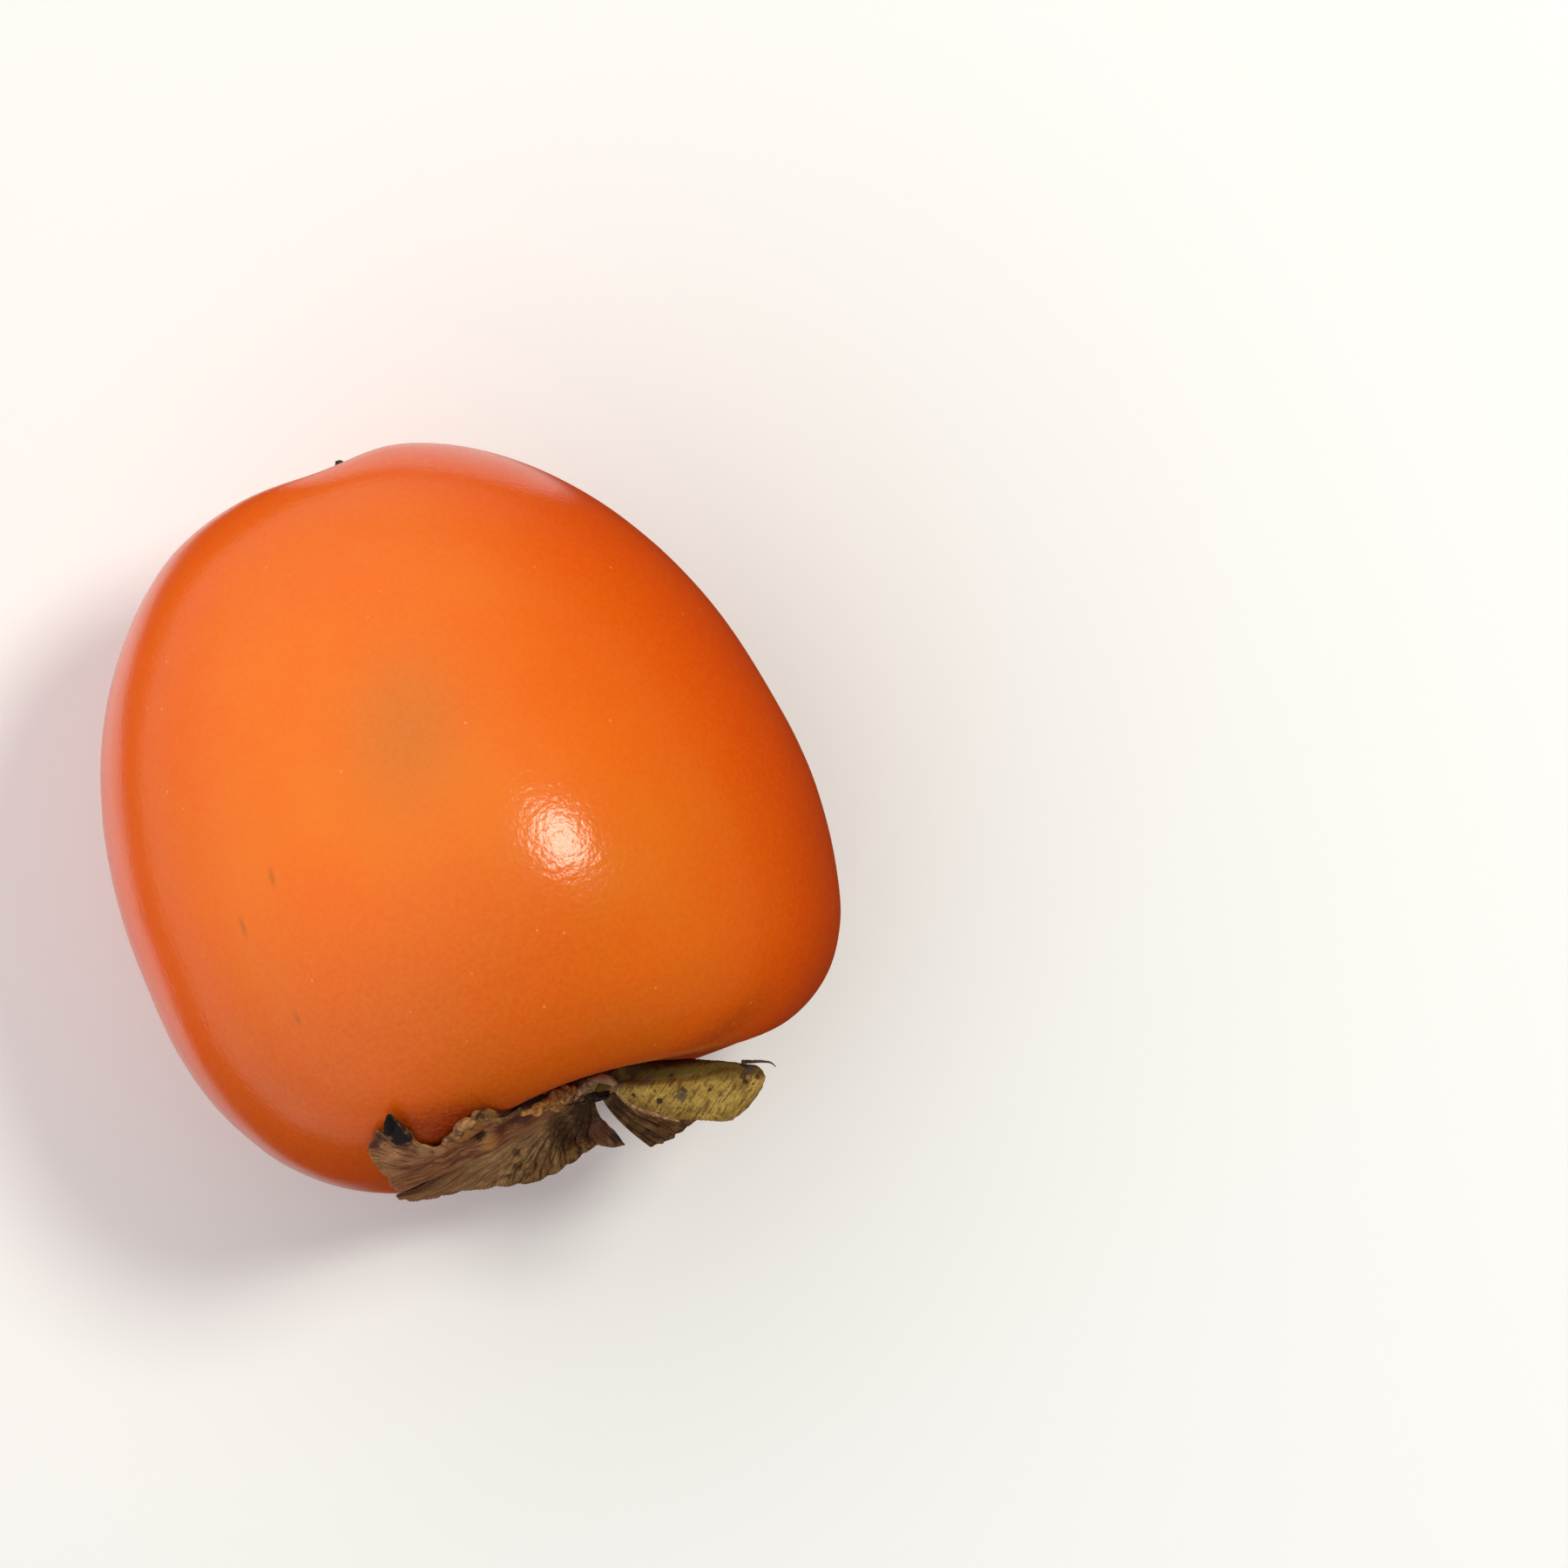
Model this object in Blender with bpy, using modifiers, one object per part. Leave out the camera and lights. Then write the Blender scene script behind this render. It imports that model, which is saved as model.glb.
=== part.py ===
"""A whole persimmon lying on its side, with its dried calyx.

Units are metres and +Z is up. +Y runs along the fruit from its stem end to its tip. The origin is on the
small flat spot that the fruit rests on. Each piece is its own object, with a hair's gap to its neighbours.
"""

import math

import bmesh
import bpy
import numpy as np
from mathutils import Vector
from mathutils.bvhtree import BVHTree

MM = 0.001
SHARP_ANGLE = math.radians(35)

# How the fruit lies: its tip end dips, and its weight stands over the flat spot.
TIP_DIP = math.radians(7.0)
FRUIT_CENTRE = Vector((0.0, 0.8, 36.3)) * MM
FRUIT_TURN = (-math.pi / 2 - TIP_DIP, 0.0, 0.0)

# The turned outline, from the dimple at the tip to the basin at the stem end: (radius, height), in mm.
OUTLINE = (
    (0.0, 40.3), (4.5, 40.7), (9.5, 40.9), (14.5, 39.6), (19.2, 36.9), (25.2, 31.6), (29.9, 25.4),
    (33.8, 17.4), (36.5, 8.0), (37.7, -2.0), (37.9, -9.0), (37.3, -15.5), (35.7, -22.0), (33.2, -27.6),
    (29.0, -32.2), (23.5, -34.7), (17.5, -34.0), (11.0, -31.8), (0.0, -30.4),
)
FRUIT_SEGMENTS = 56
FRUIT_RINGS = 34

# The four soft lobes, as a share of the radius. They grow over these ranges of height, in mm.
LOBE_AT_GIRTH = 0.004
LOBE_AT_ENDS = 0.012
TIP_LOBE_SHARE = 0.7
SHOULDER_RANGE = (6.0, 34.0)
TIP_RANGE = (8.0, 40.0)

# The uneven shoulder around the stem end, in mm outwards.
SHOULDER_SWELL = -1.0
SHOULDER_LEAN_X = 1.8
SHOULDER_LEAN_UP = 0.6
SHOULDER_SADDLE = (0.75, 0.9)
SHOULDER_LOBE = 0.45
SHOULDER_RADIUS = 25.0
BASIN_RADIUS = 20.0

# The dimple at the tip and the four grooves that run out of it, in mm.
DIMPLE_RANGE = (25.0, 38.0)
DIMPLE_OFFSET = 5.0
DIMPLE_DEPTH = 0.9
DIMPLE_WIDTH = 4.5
GROOVE_DEPTH = 1.1
GROOVE_REACH = 9.0

# The calyx: its centre on the fruit, its lean to one side, and its pieces.
CALYX_CENTRE = Vector((0.57, 0.0, -34.4)) * MM
CALYX_LEAN = math.radians(12.0)
CALYX_TURN = (math.pi, CALYX_LEAN, 0.0)
DISC_RADIUS = 4.0 * MM
DISC_SEGMENTS = 28
DISC_TOP = -1.3 * MM
STUB_RADIUS = 1.5 * MM
STUB_TOP_RADIUS = 1.2 * MM
STUB_HEIGHT = 1.4 * MM
STUB_EDGE = 0.25 * MM
STUB_SIDES = 20
SEPAL_BASE_RADIUS = 4.3
SEPAL_BASE_HEIGHT = -0.9
SEPAL_THICKNESS = 0.5 * MM
SEPAL_ACROSS = 16
SEPAL_ALONG = 9
GAP = 0.3 * MM
CLEARANCE = 0.4 * MM
SEPAL_CLEARANCE = CLEARANCE + SEPAL_THICKNESS / 2

# Each sepal is a fan of rays: (heading of its base in degrees, its middle, its edge). Points are in mm from
# the calyx's centre: to the right, up, and away from the fruit.
SEPAL_RAYS = {
    "sepal_near_left": (
        (180, (-11.3, -1.5, 1.7), (-23.1, -5.0, 3.2)),
        (168, (-12.0, 2.5, 1.5), (-24.3, 2.0, 2.8)),
        (155, (-12.5, 6.5, 1.0), (-24.5, 9.0, 2.2)),
        (143, (-12.0, 9.5, 0.6), (-24.6, 16.0, 0.9)),
        (132, (-10.5, 11.0, 0.8), (-21.7, 23.4, -1.6)),
        (120, (-8.5, 10.5, 0.9), (-18.8, 16.5, 1.4)),
        (108, (-5.5, 9.5, 0.2), (-11.5, 13.5, 0.0)),
        (97, (-2.6, 7.5, -0.8), (-5.5, 11.0, -0.6)),
    ),
    "sepal_near_right": (
        (6, (8.6, 1.2, 1.4), (16.5, 2.0, 3.0)),
        (24, (7.4, 3.4, 2.8), (15.0, 6.0, 4.8)),
        (42, (5.6, 4.8, 3.2), (13.6, 8.8, 6.2)),
        (57, (5.6, 7.0, 3.2), (15.9, 10.5, 5.3)),
        (67, (6.8, 9.2, 2.0), (17.6, 12.2, 3.7)),
        (75, (6.8, 10.6, 0.6), (18.4, 13.8, 2.2)),
        (83, (5.5, 11.0, -0.6), (15.5, 14.8, 0.9)),
        (90, (3.2, 9.5, -1.3), (9.5, 13.5, -1.2)),
    ),
    "sepal_far_left": (
        (-173, (-11.3, -3.4, 1.0), (-22.9, -8.5, 3.3)),
        (-163, (-11.2, -5.8, 1.6), (-23.7, -14.0, 3.7)),
        (-150, (-10.0, -8.2, 2.0), (-17.5, -19.0, 3.2)),
        (-137, (-8.0, -9.8, 2.3), (-11.8, -20.5, 4.0)),
        (-123, (-5.5, -10.2, 2.6), (-6.8, -20.0, 4.1)),
        (-108, (-3.0, -9.2, 2.4), (-1.9, -16.0, 3.1)),
        (-95, (-0.3, -7.0, 1.4), (1.5, -13.5, 3.9)),
    ),
    "sepal_far_right": (
        (-85, (1.4, -7.0, 1.8), (3.7, -16.0, 4.5)),
        (-68, (3.2, -8.8, 2.2), (6.4, -18.0, 4.0)),
        (-50, (5.8, -8.8, 1.8), (10.5, -17.5, 2.6)),
        (-32, (8.2, -6.8, 1.0), (15.8, -12.5, 1.4)),
        (-14, (8.8, -2.4, 1.0), (17.5, -4.5, 2.2)),
    ),
}

# The dried style, and where it stands across the tip: to the right and up from the axis.
STYLE_RADIUS = 0.7 * MM
STYLE_TOP_RADIUS = 0.2 * MM
STYLE_HEIGHT = 1.2 * MM
STYLE_SIDES = 12
STYLE_PLACE = Vector((6.5, 2.0)) * MM

# Each piece's own colour and roughness.
FINISHES = {
    "fruit": ((0.84, 0.20, 0.03), 0.25),
    "sepal_near_left": ((0.24, 0.17, 0.08), 0.8),
    "sepal_near_right": ((0.36, 0.31, 0.08), 0.75),
    "sepal_far_left": ((0.22, 0.17, 0.07), 0.8),
    "sepal_far_right": ((0.17, 0.13, 0.06), 0.8),
    "calyx_disc": ((0.30, 0.21, 0.11), 0.8),
    "stem_stub": ((0.05, 0.035, 0.025), 0.85),
    "style_tip": ((0.08, 0.05, 0.03), 0.85),
}


def clear_scene():
    for obj in list(bpy.data.objects):
        bpy.data.objects.remove(obj, do_unlink=True)


def new_material(name):
    colour, roughness = FINISHES[name]
    material = bpy.data.materials.new(name)
    material.use_nodes = True
    shader = material.node_tree.nodes["Principled BSDF"]
    shader.inputs["Base Color"].default_value = (*colour, 1.0)
    shader.inputs["Roughness"].default_value = roughness
    shader.inputs["Metallic"].default_value = 0.0
    return material


def add_axis(name, location, rotation, parent, collection):
    """An empty that pieces are parented to, so that their points are in its frame."""
    axis = bpy.data.objects.new(name, None)
    axis.location = location
    axis.rotation_euler = rotation
    axis.parent = parent
    collection.objects.link(axis)
    bpy.context.view_layer.update()
    return axis


def add_piece(name, bm, axis):
    """A mesh object from the bmesh, parented to its axis, smooth apart from its sharp edges."""
    mesh = bpy.data.meshes.new(name)
    bm.to_mesh(mesh)
    bm.free()
    mesh.materials.append(new_material(name))
    mesh.shade_smooth()
    mesh.set_sharp_from_angle(angle=SHARP_ANGLE)
    obj = bpy.data.objects.new(name, mesh)
    obj.parent = axis
    axis.users_collection[0].objects.link(obj)
    return obj


def ease(low, high, value):
    """0 below low, 1 above high, with a smooth step between them."""
    share = np.clip((value - low) / (high - low), 0.0, 1.0)
    return share * share * (3.0 - 2.0 * share)


def bell(value, width):
    return np.exp(-0.5 * (value / width) ** 2)


def outline_point(share):
    """(radius, height) at a share of the outline's length, on a smooth curve through its points."""
    points = np.array(OUTLINE)
    steps = np.hypot(*np.diff(points, axis=0).T)
    marks = np.concatenate([[0.0], np.cumsum(steps)]) / steps.sum()
    spans = np.diff(marks)[:, None]
    slopes = np.diff(points, axis=0) / spans
    tangents = np.empty_like(points)
    tangents[1:-1] = (slopes[:-1] * spans[1:] + slopes[1:] * spans[:-1]) / (spans[1:] + spans[:-1])
    tangents[0] = (slopes[0][0], 0.0)
    tangents[-1] = (slopes[-1][0], 0.0)
    i = int(np.clip(np.searchsorted(marks, share, side="right") - 1, 0, len(points) - 2))
    span = spans[i][0]
    u = (share - marks[i]) / span
    return (
        (2 * u**3 - 3 * u**2 + 1) * points[i]
        + (u**3 - 2 * u**2 + u) * span * tangents[i]
        + (3 * u**2 - 2 * u**3) * points[i + 1]
        + (u**3 - u**2) * span * tangents[i + 1]
    )


def fruit_surface(share, angle):
    """A point of the skin in the fruit's frame: +X to the right, -Y up, +Z along the axis to the tip."""
    radius, height = outline_point(share)
    shoulder = ease(*SHOULDER_RANGE, -height)
    tip = ease(*TIP_RANGE, height)
    lobe = -math.cos(4 * angle)
    radius *= 1 + lobe * (LOBE_AT_GIRTH + LOBE_AT_ENDS * max(shoulder, TIP_LOBE_SHARE * tip))
    x = radius * math.cos(angle)
    up = radius * math.sin(angle)
    lean = SHOULDER_LEAN_X * math.cos(angle) + SHOULDER_LEAN_UP * math.sin(angle)
    saddle = SHOULDER_SADDLE[0] * math.cos(2 * angle) + SHOULDER_SADDLE[1] * math.sin(2 * angle)
    rim = ease(0.0, BASIN_RADIUS, radius)
    swell = lean * radius / SHOULDER_RADIUS + rim * (SHOULDER_SWELL + saddle + SHOULDER_LOBE * lobe)
    from_dimple = math.hypot(x - DIMPLE_OFFSET, up)
    grooves = bell(x - DIMPLE_OFFSET, DIMPLE_WIDTH) + bell(up, DIMPLE_WIDTH)
    hollow = DIMPLE_DEPTH * bell(from_dimple, DIMPLE_WIDTH)
    hollow += GROOVE_DEPTH * grooves * bell(from_dimple - GROOVE_REACH, DIMPLE_WIDTH)
    along = height - shoulder * swell - ease(*DIMPLE_RANGE, height) * hollow
    return Vector((x, -up, along)) * MM


def make_fruit(axis):
    """A sphere drawn out to the fruit's outline and lobes, then cut flat where it rests."""
    bm = bmesh.new()
    bmesh.ops.create_uvsphere(bm, u_segments=FRUIT_SEGMENTS, v_segments=FRUIT_RINGS, radius=1.0)
    for vert in bm.verts:
        share = math.acos(max(-1.0, min(1.0, vert.co.z))) / math.pi
        angle = math.atan2(-vert.co.y, vert.co.x)
        vert.co = fruit_surface(share, angle)
    to_fruit = axis.matrix_world.inverted()
    bmesh.ops.bisect_plane(
        bm,
        geom=bm.verts[:] + bm.edges[:] + bm.faces[:],
        plane_co=to_fruit.translation,
        plane_no=to_fruit.to_3x3() @ Vector((0, 0, -1)),
        clear_outer=True,
    )
    bmesh.ops.holes_fill(bm, edges=[edge for edge in bm.edges if edge.is_boundary])
    bmesh.ops.recalc_face_normals(bm, faces=bm.faces)
    return add_piece("fruit", bm, axis)


def skin_tree(fruit, axis):
    """The skin as a search tree in an axis's frame, for setting the other pieces clear of it."""
    bpy.context.view_layer.update()
    bm = bmesh.new()
    bm.from_mesh(fruit.data)
    bm.transform(axis.matrix_world.inverted() @ fruit.matrix_world)
    bm.normal_update()
    tree = BVHTree.FromBMesh(bm)
    bm.free()
    return tree


def set_clear(point, tree, distance):
    """The point, moved straight off the skin until it is at least this far from it."""
    nearest, normal, _, _ = tree.find_nearest(point)
    height = (point - nearest).dot(normal)
    if height >= distance:
        return point
    return point + normal * (distance - height)


def smooth_row(values, share):
    """A point at a share of the way along a Catmull-Rom curve through evenly spaced points."""
    first = 2 * values[0] - values[1]
    last = 2 * values[-1] - values[-2]
    row = [first, *values, last]
    place = min(share * (len(values) - 1), len(values) - 1 - 1e-9)
    i = int(place)
    f = place - i
    a, b, c, d = row[i : i + 4]
    return 0.5 * (2 * b + (c - a) * f + (2 * a - 5 * b + 4 * c - d) * f**2 + (3 * b - a - 3 * c + d) * f**3)


def sepal_point(rays, across, along):
    """A point of a sepal's inner face, in mm in the calyx's frame."""
    bases = []
    for heading, _, _ in rays:
        turn = math.radians(heading)
        ring = SEPAL_BASE_RADIUS
        bases.append(Vector((ring * math.cos(turn), ring * math.sin(turn), SEPAL_BASE_HEIGHT)))
    base = smooth_row(bases, across)
    middle = smooth_row([Vector(ray[1]) for ray in rays], across)
    edge = smooth_row([Vector(ray[2]) for ray in rays], across)
    t = along
    return base * (2 * (t - 0.5) * (t - 1)) + middle * (4 * t * (1 - t)) + edge * (2 * t * (t - 0.5))


def make_sepal(name, axis, tree):
    """A sheet over a sepal's rays, set clear of the skin and thickened to both sides."""
    bm = bmesh.new()
    rows = []
    for i in range(SEPAL_ACROSS + 1):
        row = []
        for j in range(SEPAL_ALONG + 1):
            point = sepal_point(SEPAL_RAYS[name], i / SEPAL_ACROSS, j / SEPAL_ALONG) * MM
            row.append(bm.verts.new(set_clear(point, tree, SEPAL_CLEARANCE)))
        rows.append(row)
    for one, two in zip(rows, rows[1:]):
        for j in range(SEPAL_ALONG):
            bm.faces.new((one[j], two[j], two[j + 1], one[j + 1]))
    bm.normal_update()
    if sum(face.normal.z for face in bm.faces) < 0:
        bmesh.ops.reverse_faces(bm, faces=bm.faces)
    obj = add_piece(name, bm, axis)
    wall = obj.modifiers.new("wall", "SOLIDIFY")
    wall.thickness = SEPAL_THICKNESS
    wall.offset = 0.0


def make_disc(axis, tree):
    """The calyx's centre: a round plug whose underside follows the basin."""
    bm = bmesh.new()
    bmesh.ops.create_cone(
        bm,
        cap_ends=True,
        cap_tris=True,
        segments=DISC_SEGMENTS,
        radius1=DISC_RADIUS,
        radius2=DISC_RADIUS,
        depth=MM,
    )
    down = Vector((0, 0, -1))
    for vert in bm.verts:
        under = vert.co.z < 0
        vert.co.z = DISC_TOP
        if under:
            _, _, _, depth = tree.ray_cast(vert.co, down)
            vert.co.z -= depth - CLEARANCE
    bmesh.ops.recalc_face_normals(bm, faces=bm.faces)
    add_piece("calyx_disc", bm, axis)


def add_cone(name, sides, foot_radius, top_radius, height, location, rotation, axis):
    """A tapered round piece, with its place and turn in its axis's frame."""
    bm = bmesh.new()
    bmesh.ops.create_cone(
        bm,
        cap_ends=True,
        segments=sides,
        radius1=foot_radius,
        radius2=top_radius,
        depth=height,
    )
    obj = add_piece(name, bm, axis)
    obj.location = location
    obj.rotation_euler = rotation
    return obj


def make_stub(axis):
    """The cut stem: a short cone on the calyx's centre, rounded at its edges."""
    middle = (0, 0, DISC_TOP + GAP + STUB_HEIGHT / 2)
    stub = add_cone(
        "stem_stub", STUB_SIDES, STUB_RADIUS, STUB_TOP_RADIUS, STUB_HEIGHT, middle, (0, 0, 0), axis
    )
    edge = stub.modifiers.new("rounded_edge", "BEVEL")
    edge.width = STUB_EDGE
    edge.segments = 2


def make_style(axis, tree):
    """The dried style: a tiny pointed cone standing in the dimple."""
    beyond_tip = Vector((STYLE_PLACE.x, -STYLE_PLACE.y, 2 * OUTLINE[0][1] * MM))
    hit, normal, _, _ = tree.ray_cast(beyond_tip, Vector((0, 0, -1)))
    middle = hit + normal * (CLEARANCE + STYLE_HEIGHT / 2)
    turn = normal.to_track_quat("Z", "Y").to_euler()
    add_cone(
        "style_tip", STYLE_SIDES, STYLE_RADIUS, STYLE_TOP_RADIUS, STYLE_HEIGHT, middle, turn, axis
    )


def main():
    clear_scene()
    parts = bpy.data.collections.new("persimmon")
    bpy.context.scene.collection.children.link(parts)
    fruit_axis = add_axis("fruit_axis", FRUIT_CENTRE, FRUIT_TURN, None, parts)
    calyx_axis = add_axis("calyx_axis", CALYX_CENTRE, CALYX_TURN, fruit_axis, parts)
    fruit = make_fruit(fruit_axis)
    make_style(fruit_axis, skin_tree(fruit, fruit_axis))
    tree = skin_tree(fruit, calyx_axis)
    for name in SEPAL_RAYS:
        make_sepal(name, calyx_axis, tree)
    make_disc(calyx_axis, tree)
    make_stub(calyx_axis)


main()
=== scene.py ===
# %% [markdown]
# # A whole persimmon with its dried calyx
# The solid model of the fruit is loaded first as a fixed frame. Every finer piece below is fitted to it, so
# nothing here moves or resizes it.

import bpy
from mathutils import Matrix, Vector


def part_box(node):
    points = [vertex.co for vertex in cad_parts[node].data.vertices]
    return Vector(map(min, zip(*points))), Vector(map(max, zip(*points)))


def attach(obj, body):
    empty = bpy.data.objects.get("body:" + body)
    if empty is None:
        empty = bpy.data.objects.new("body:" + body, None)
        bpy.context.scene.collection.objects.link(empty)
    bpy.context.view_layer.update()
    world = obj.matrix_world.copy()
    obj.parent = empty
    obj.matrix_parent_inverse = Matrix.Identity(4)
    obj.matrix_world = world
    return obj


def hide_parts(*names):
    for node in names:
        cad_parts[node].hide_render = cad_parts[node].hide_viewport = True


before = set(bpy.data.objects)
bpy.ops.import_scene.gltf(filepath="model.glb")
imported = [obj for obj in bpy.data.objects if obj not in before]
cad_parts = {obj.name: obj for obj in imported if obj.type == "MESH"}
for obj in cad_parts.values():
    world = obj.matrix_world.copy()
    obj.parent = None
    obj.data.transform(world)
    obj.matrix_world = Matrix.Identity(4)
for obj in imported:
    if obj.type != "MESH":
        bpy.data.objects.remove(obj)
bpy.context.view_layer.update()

# %% [markdown]
# Blender works in metres. A fruit is easier to think about in millimetres, so lengths below are in
# millimetres and are multiplied by MM where they become geometry.

# %% Modules and units
import math

import bmesh
import bpy
import numpy as np
from mathutils import Euler, Matrix, Vector, noise
from mathutils.bvhtree import BVHTree

MM = 0.001

# %% [markdown]
# ## Small helpers for node trees
# Both the shapes and the finishes below are node trees built in code. Wiring Math nodes one by one is long
# to read, so a small class lets ordinary arithmetic add the nodes: `a * 2 + b` adds a Multiply and an Add.
# First come the four helpers that it rests on.

# %% Nodes and their sockets
def plug(value, socket):
    """Sets a socket from a plain value, or links it to a wire."""
    if isinstance(value, Wire):
        value.tree.links.new(value.socket, socket)
    else:
        socket.default_value = value


def fill(node, inputs):
    """Fills a node's inputs, by name or number."""
    for name, value in inputs.items():
        plug(value, node.inputs[name])


def put(tree, kind, inputs=None, **settings):
    """Adds a node with its settings, and fills its inputs."""
    made = tree.nodes.new(kind)
    for name, value in settings.items():
        setattr(made, name, value)
    fill(made, inputs or {})
    return made


def out(node, name=0):
    """One of a node's outputs, as a wire."""
    return Wire(node.outputs[name])


# %% Arithmetic that builds nodes
class Wire:
    """A value flowing through a node tree. Arithmetic on it adds Math nodes."""

    def __init__(self, socket):
        self.socket = socket
        self.tree = socket.id_data

    def calc(self, operation, *others):
        inputs = dict(enumerate((self, *others)))
        return out(put(self.tree, "ShaderNodeMath", inputs, operation=operation))

    def __add__(self, other):
        return self.calc("ADD", other)

    def __sub__(self, other):
        return self.calc("SUBTRACT", other)

    def __mul__(self, other):
        return self.calc("MULTIPLY", other)

    def __truediv__(self, other):
        return self.calc("DIVIDE", other)

    __radd__ = __add__
    __rmul__ = __mul__

    def __rsub__(self, other):
        return self * -1 + other

    def __rtruediv__(self, other):
        return out(put(self.tree, "ShaderNodeMath", {0: other, 1: self}, operation="DIVIDE"))

    def ease(self, low, high):
        """0 below low, 1 above high, with a smooth step between them."""
        inputs = {"Value": self, "From Min": low, "From Max": high}
        return out(put(self.tree, "ShaderNodeMapRange", inputs, interpolation_type="SMOOTHSTEP"), "Result")

    def bell(self, width):
        """1 at zero, falling off to both sides over about the width."""
        share = self / width
        return (share * share * -0.5).calc("EXPONENT")


# %% [markdown]
# Vectors and colours need their own nodes. Each helper below adds them in the tree that its wire is in.

# %% Vectors, noise and colours
def parts_of(vector):
    """The X, Y and Z of a vector wire."""
    made = put(vector.tree, "ShaderNodeSeparateXYZ", {"Vector": vector})
    return out(made, "X"), out(made, "Y"), out(made, "Z")


def vector_of(x, y, z):
    return out(put(x.tree, "ShaderNodeCombineXYZ", {"X": x, "Y": y, "Z": z}))


def vector_math(operation, vector, *others, output=0):
    inputs = dict(enumerate((vector, *others)))
    return out(put(vector.tree, "ShaderNodeVectorMath", inputs, operation=operation), output)


def length_of(x, y):
    """The length of a step of x and y in a plane."""
    return (x * x + y * y).calc("SQRT")


def cloud(vector, scale, detail, roughness):
    """A noise between 0 and 1 at each place of a vector wire."""
    inputs = {"Vector": vector, "Scale": scale, "Detail": detail, "Roughness": roughness}
    return out(put(vector.tree, "ShaderNodeTexNoise", inputs), "Fac")


def colour(red, green, blue):
    return (red, green, blue, 1.0)


def blend(mask, under, over):
    """One colour over another, where the mask is 1. A Mix node's colour sockets are inputs 6 and 7."""
    inputs = {0: mask, 6: under, 7: over}
    return out(put(mask.tree, "ShaderNodeMix", inputs, data_type="RGBA", clamp_factor=True), 2)


def new_finish(name):
    """A material, with its tree and its Principled shader."""
    material = bpy.data.materials.new(name)
    material.use_nodes = True
    tree = material.node_tree
    return material, tree, tree.nodes["Principled BSDF"]


# %% [markdown]
# ## Where the fruit lies
# The fruit lies on its side. Its own frame has +Z along its axis to the tip, +X to the right and -Y up. The
# calyx has a frame of its own at the stem end, with +Z pointing away from the fruit, +X right and +Y up.
# Both follow from the solid model's box and a few angles.

# %% The fruit's and the calyx's frames
TIP_DIP = math.radians(7.0)
CENTRE_SHARE = Vector((0.5, 0.4636, 0.484))
CALYX_CENTRE = Vector((0.57, 0.0, -34.4)) * MM
CALYX_LEAN = math.radians(12.0)

fruit_low, fruit_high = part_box("fruit")
fruit_middle = (fruit_low + fruit_high) / 2
fruit_centre = fruit_low + (fruit_high - fruit_low) * CENTRE_SHARE
fruit_turn = Euler((-math.pi / 2 - TIP_DIP, 0.0, 0.0))
fruit_place = Matrix.Translation(fruit_centre) @ fruit_turn.to_matrix().to_4x4()
calyx_turn = Euler((math.pi, CALYX_LEAN, 0.0)).to_matrix().to_4x4()
calyx_place = fruit_place @ Matrix.Translation(CALYX_CENTRE) @ calyx_turn
to_calyx = calyx_place.inverted()
print("fruit centre in mm:", [round(value / MM, 2) for value in fruit_centre])

# %% [markdown]
# The fruit is seen from straight above, with its tip up and to the left. A way to something around it is
# easiest to give as it looks from there, so a helper turns right, up and towards the eye into the frame's
# own axes.

# %% Ways as they look from above
VIEW_TURN = math.radians(-27.0)


def view_direction(right, up, towards):
    cos, sin = math.cos(VIEW_TURN), math.sin(VIEW_TURN)
    return Vector((right * cos - up * sin, right * sin + up * cos, towards)).normalized()


# %% [markdown]
# ## The room
# A waxy skin shows the room around it almost as much as its own colour, so the light comes before the skin.
# The room is bright on one side, as if one wall were all window, and dim on the other. A few large area
# lights could do the same, but each would leave its outline in the wax, so the world's own shader does it
# with one smooth step. To the camera the room is a plain backdrop, a little darker at the horizon.

# %% The room: bright on one side, dim on the other
BRIGHT_WAY = view_direction(-0.93, 0.2, 0.15)
BRIGHT_SIDE = 1.03
DIM_SIDE = 0.16
DIM_UNTIL = -0.45
BRIGHT_FROM = 0.55
BACKDROP = 0.93
HORIZON = 0.58
HAZE = 0.22
WHITE = colour(1.0, 1.0, 1.0)

scene = bpy.context.scene
scene.view_settings.view_transform = "Standard"
scene.world = bpy.data.worlds.new("room")
scene.world.use_nodes = True
room = scene.world.node_tree
ray_way = out(put(room, "ShaderNodeTexCoord"), "Generated")
facing = vector_math("DOT_PRODUCT", ray_way, BRIGHT_WAY, output="Value").ease(DIM_UNTIL, BRIGHT_FROM)
light = DIM_SIDE + facing * (BRIGHT_SIDE - DIM_SIDE)
backdrop = HORIZON + parts_of(ray_way)[2].ease(0.0, HAZE) * (BACKDROP - HORIZON)
seen = out(put(room, "ShaderNodeLightPath"), "Is Camera Ray")
fill(room.nodes["Background"], {"Color": WHITE, "Strength": light + seen * (backdrop - light)})

# %% [markdown]
# ## The table
# The table is a plain, pale sheet, so large that no edge of it shows. What the fruit gets from it is painted.
# A dim, warm tone all round the fruit is painted shade and glow, standing in for the fruit's own shadow and
# the orange light that bounces back to its flanks. Two round white patches are painted cards that brighten
# two of its flanks, as a still life is lit, and far off on the room's bright side the table is painted bright
# again. So the table has two looks, and a Light Path node tells them apart: the camera gets the plain one,
# and all other light gets the painted one.

# %% The table's finish
FLOOR_TONE = 0.96
# Painted shade and glow: near the fruit, light other than the camera's sees this dim orange tone in place of
# the fruit's shadow and bounced colour.
FRUIT_SHADE_AND_GLOW = colour(0.26, 0.045, 0.015)
CARD_TONE = 0.88
CARD_EDGE = 4.0
# Each card: the way to its middle from the fruit's, how far off that is, and its radius, in millimetres.
CARDS = (((-0.99, -0.13), 30.0, 50.0), ((0.0, 1.0), 73.0, 30.0))
FAR_FROM = 110.0
FAR_TO = 140.0


def grey(tone):
    return colour(tone, tone, tone)


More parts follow.
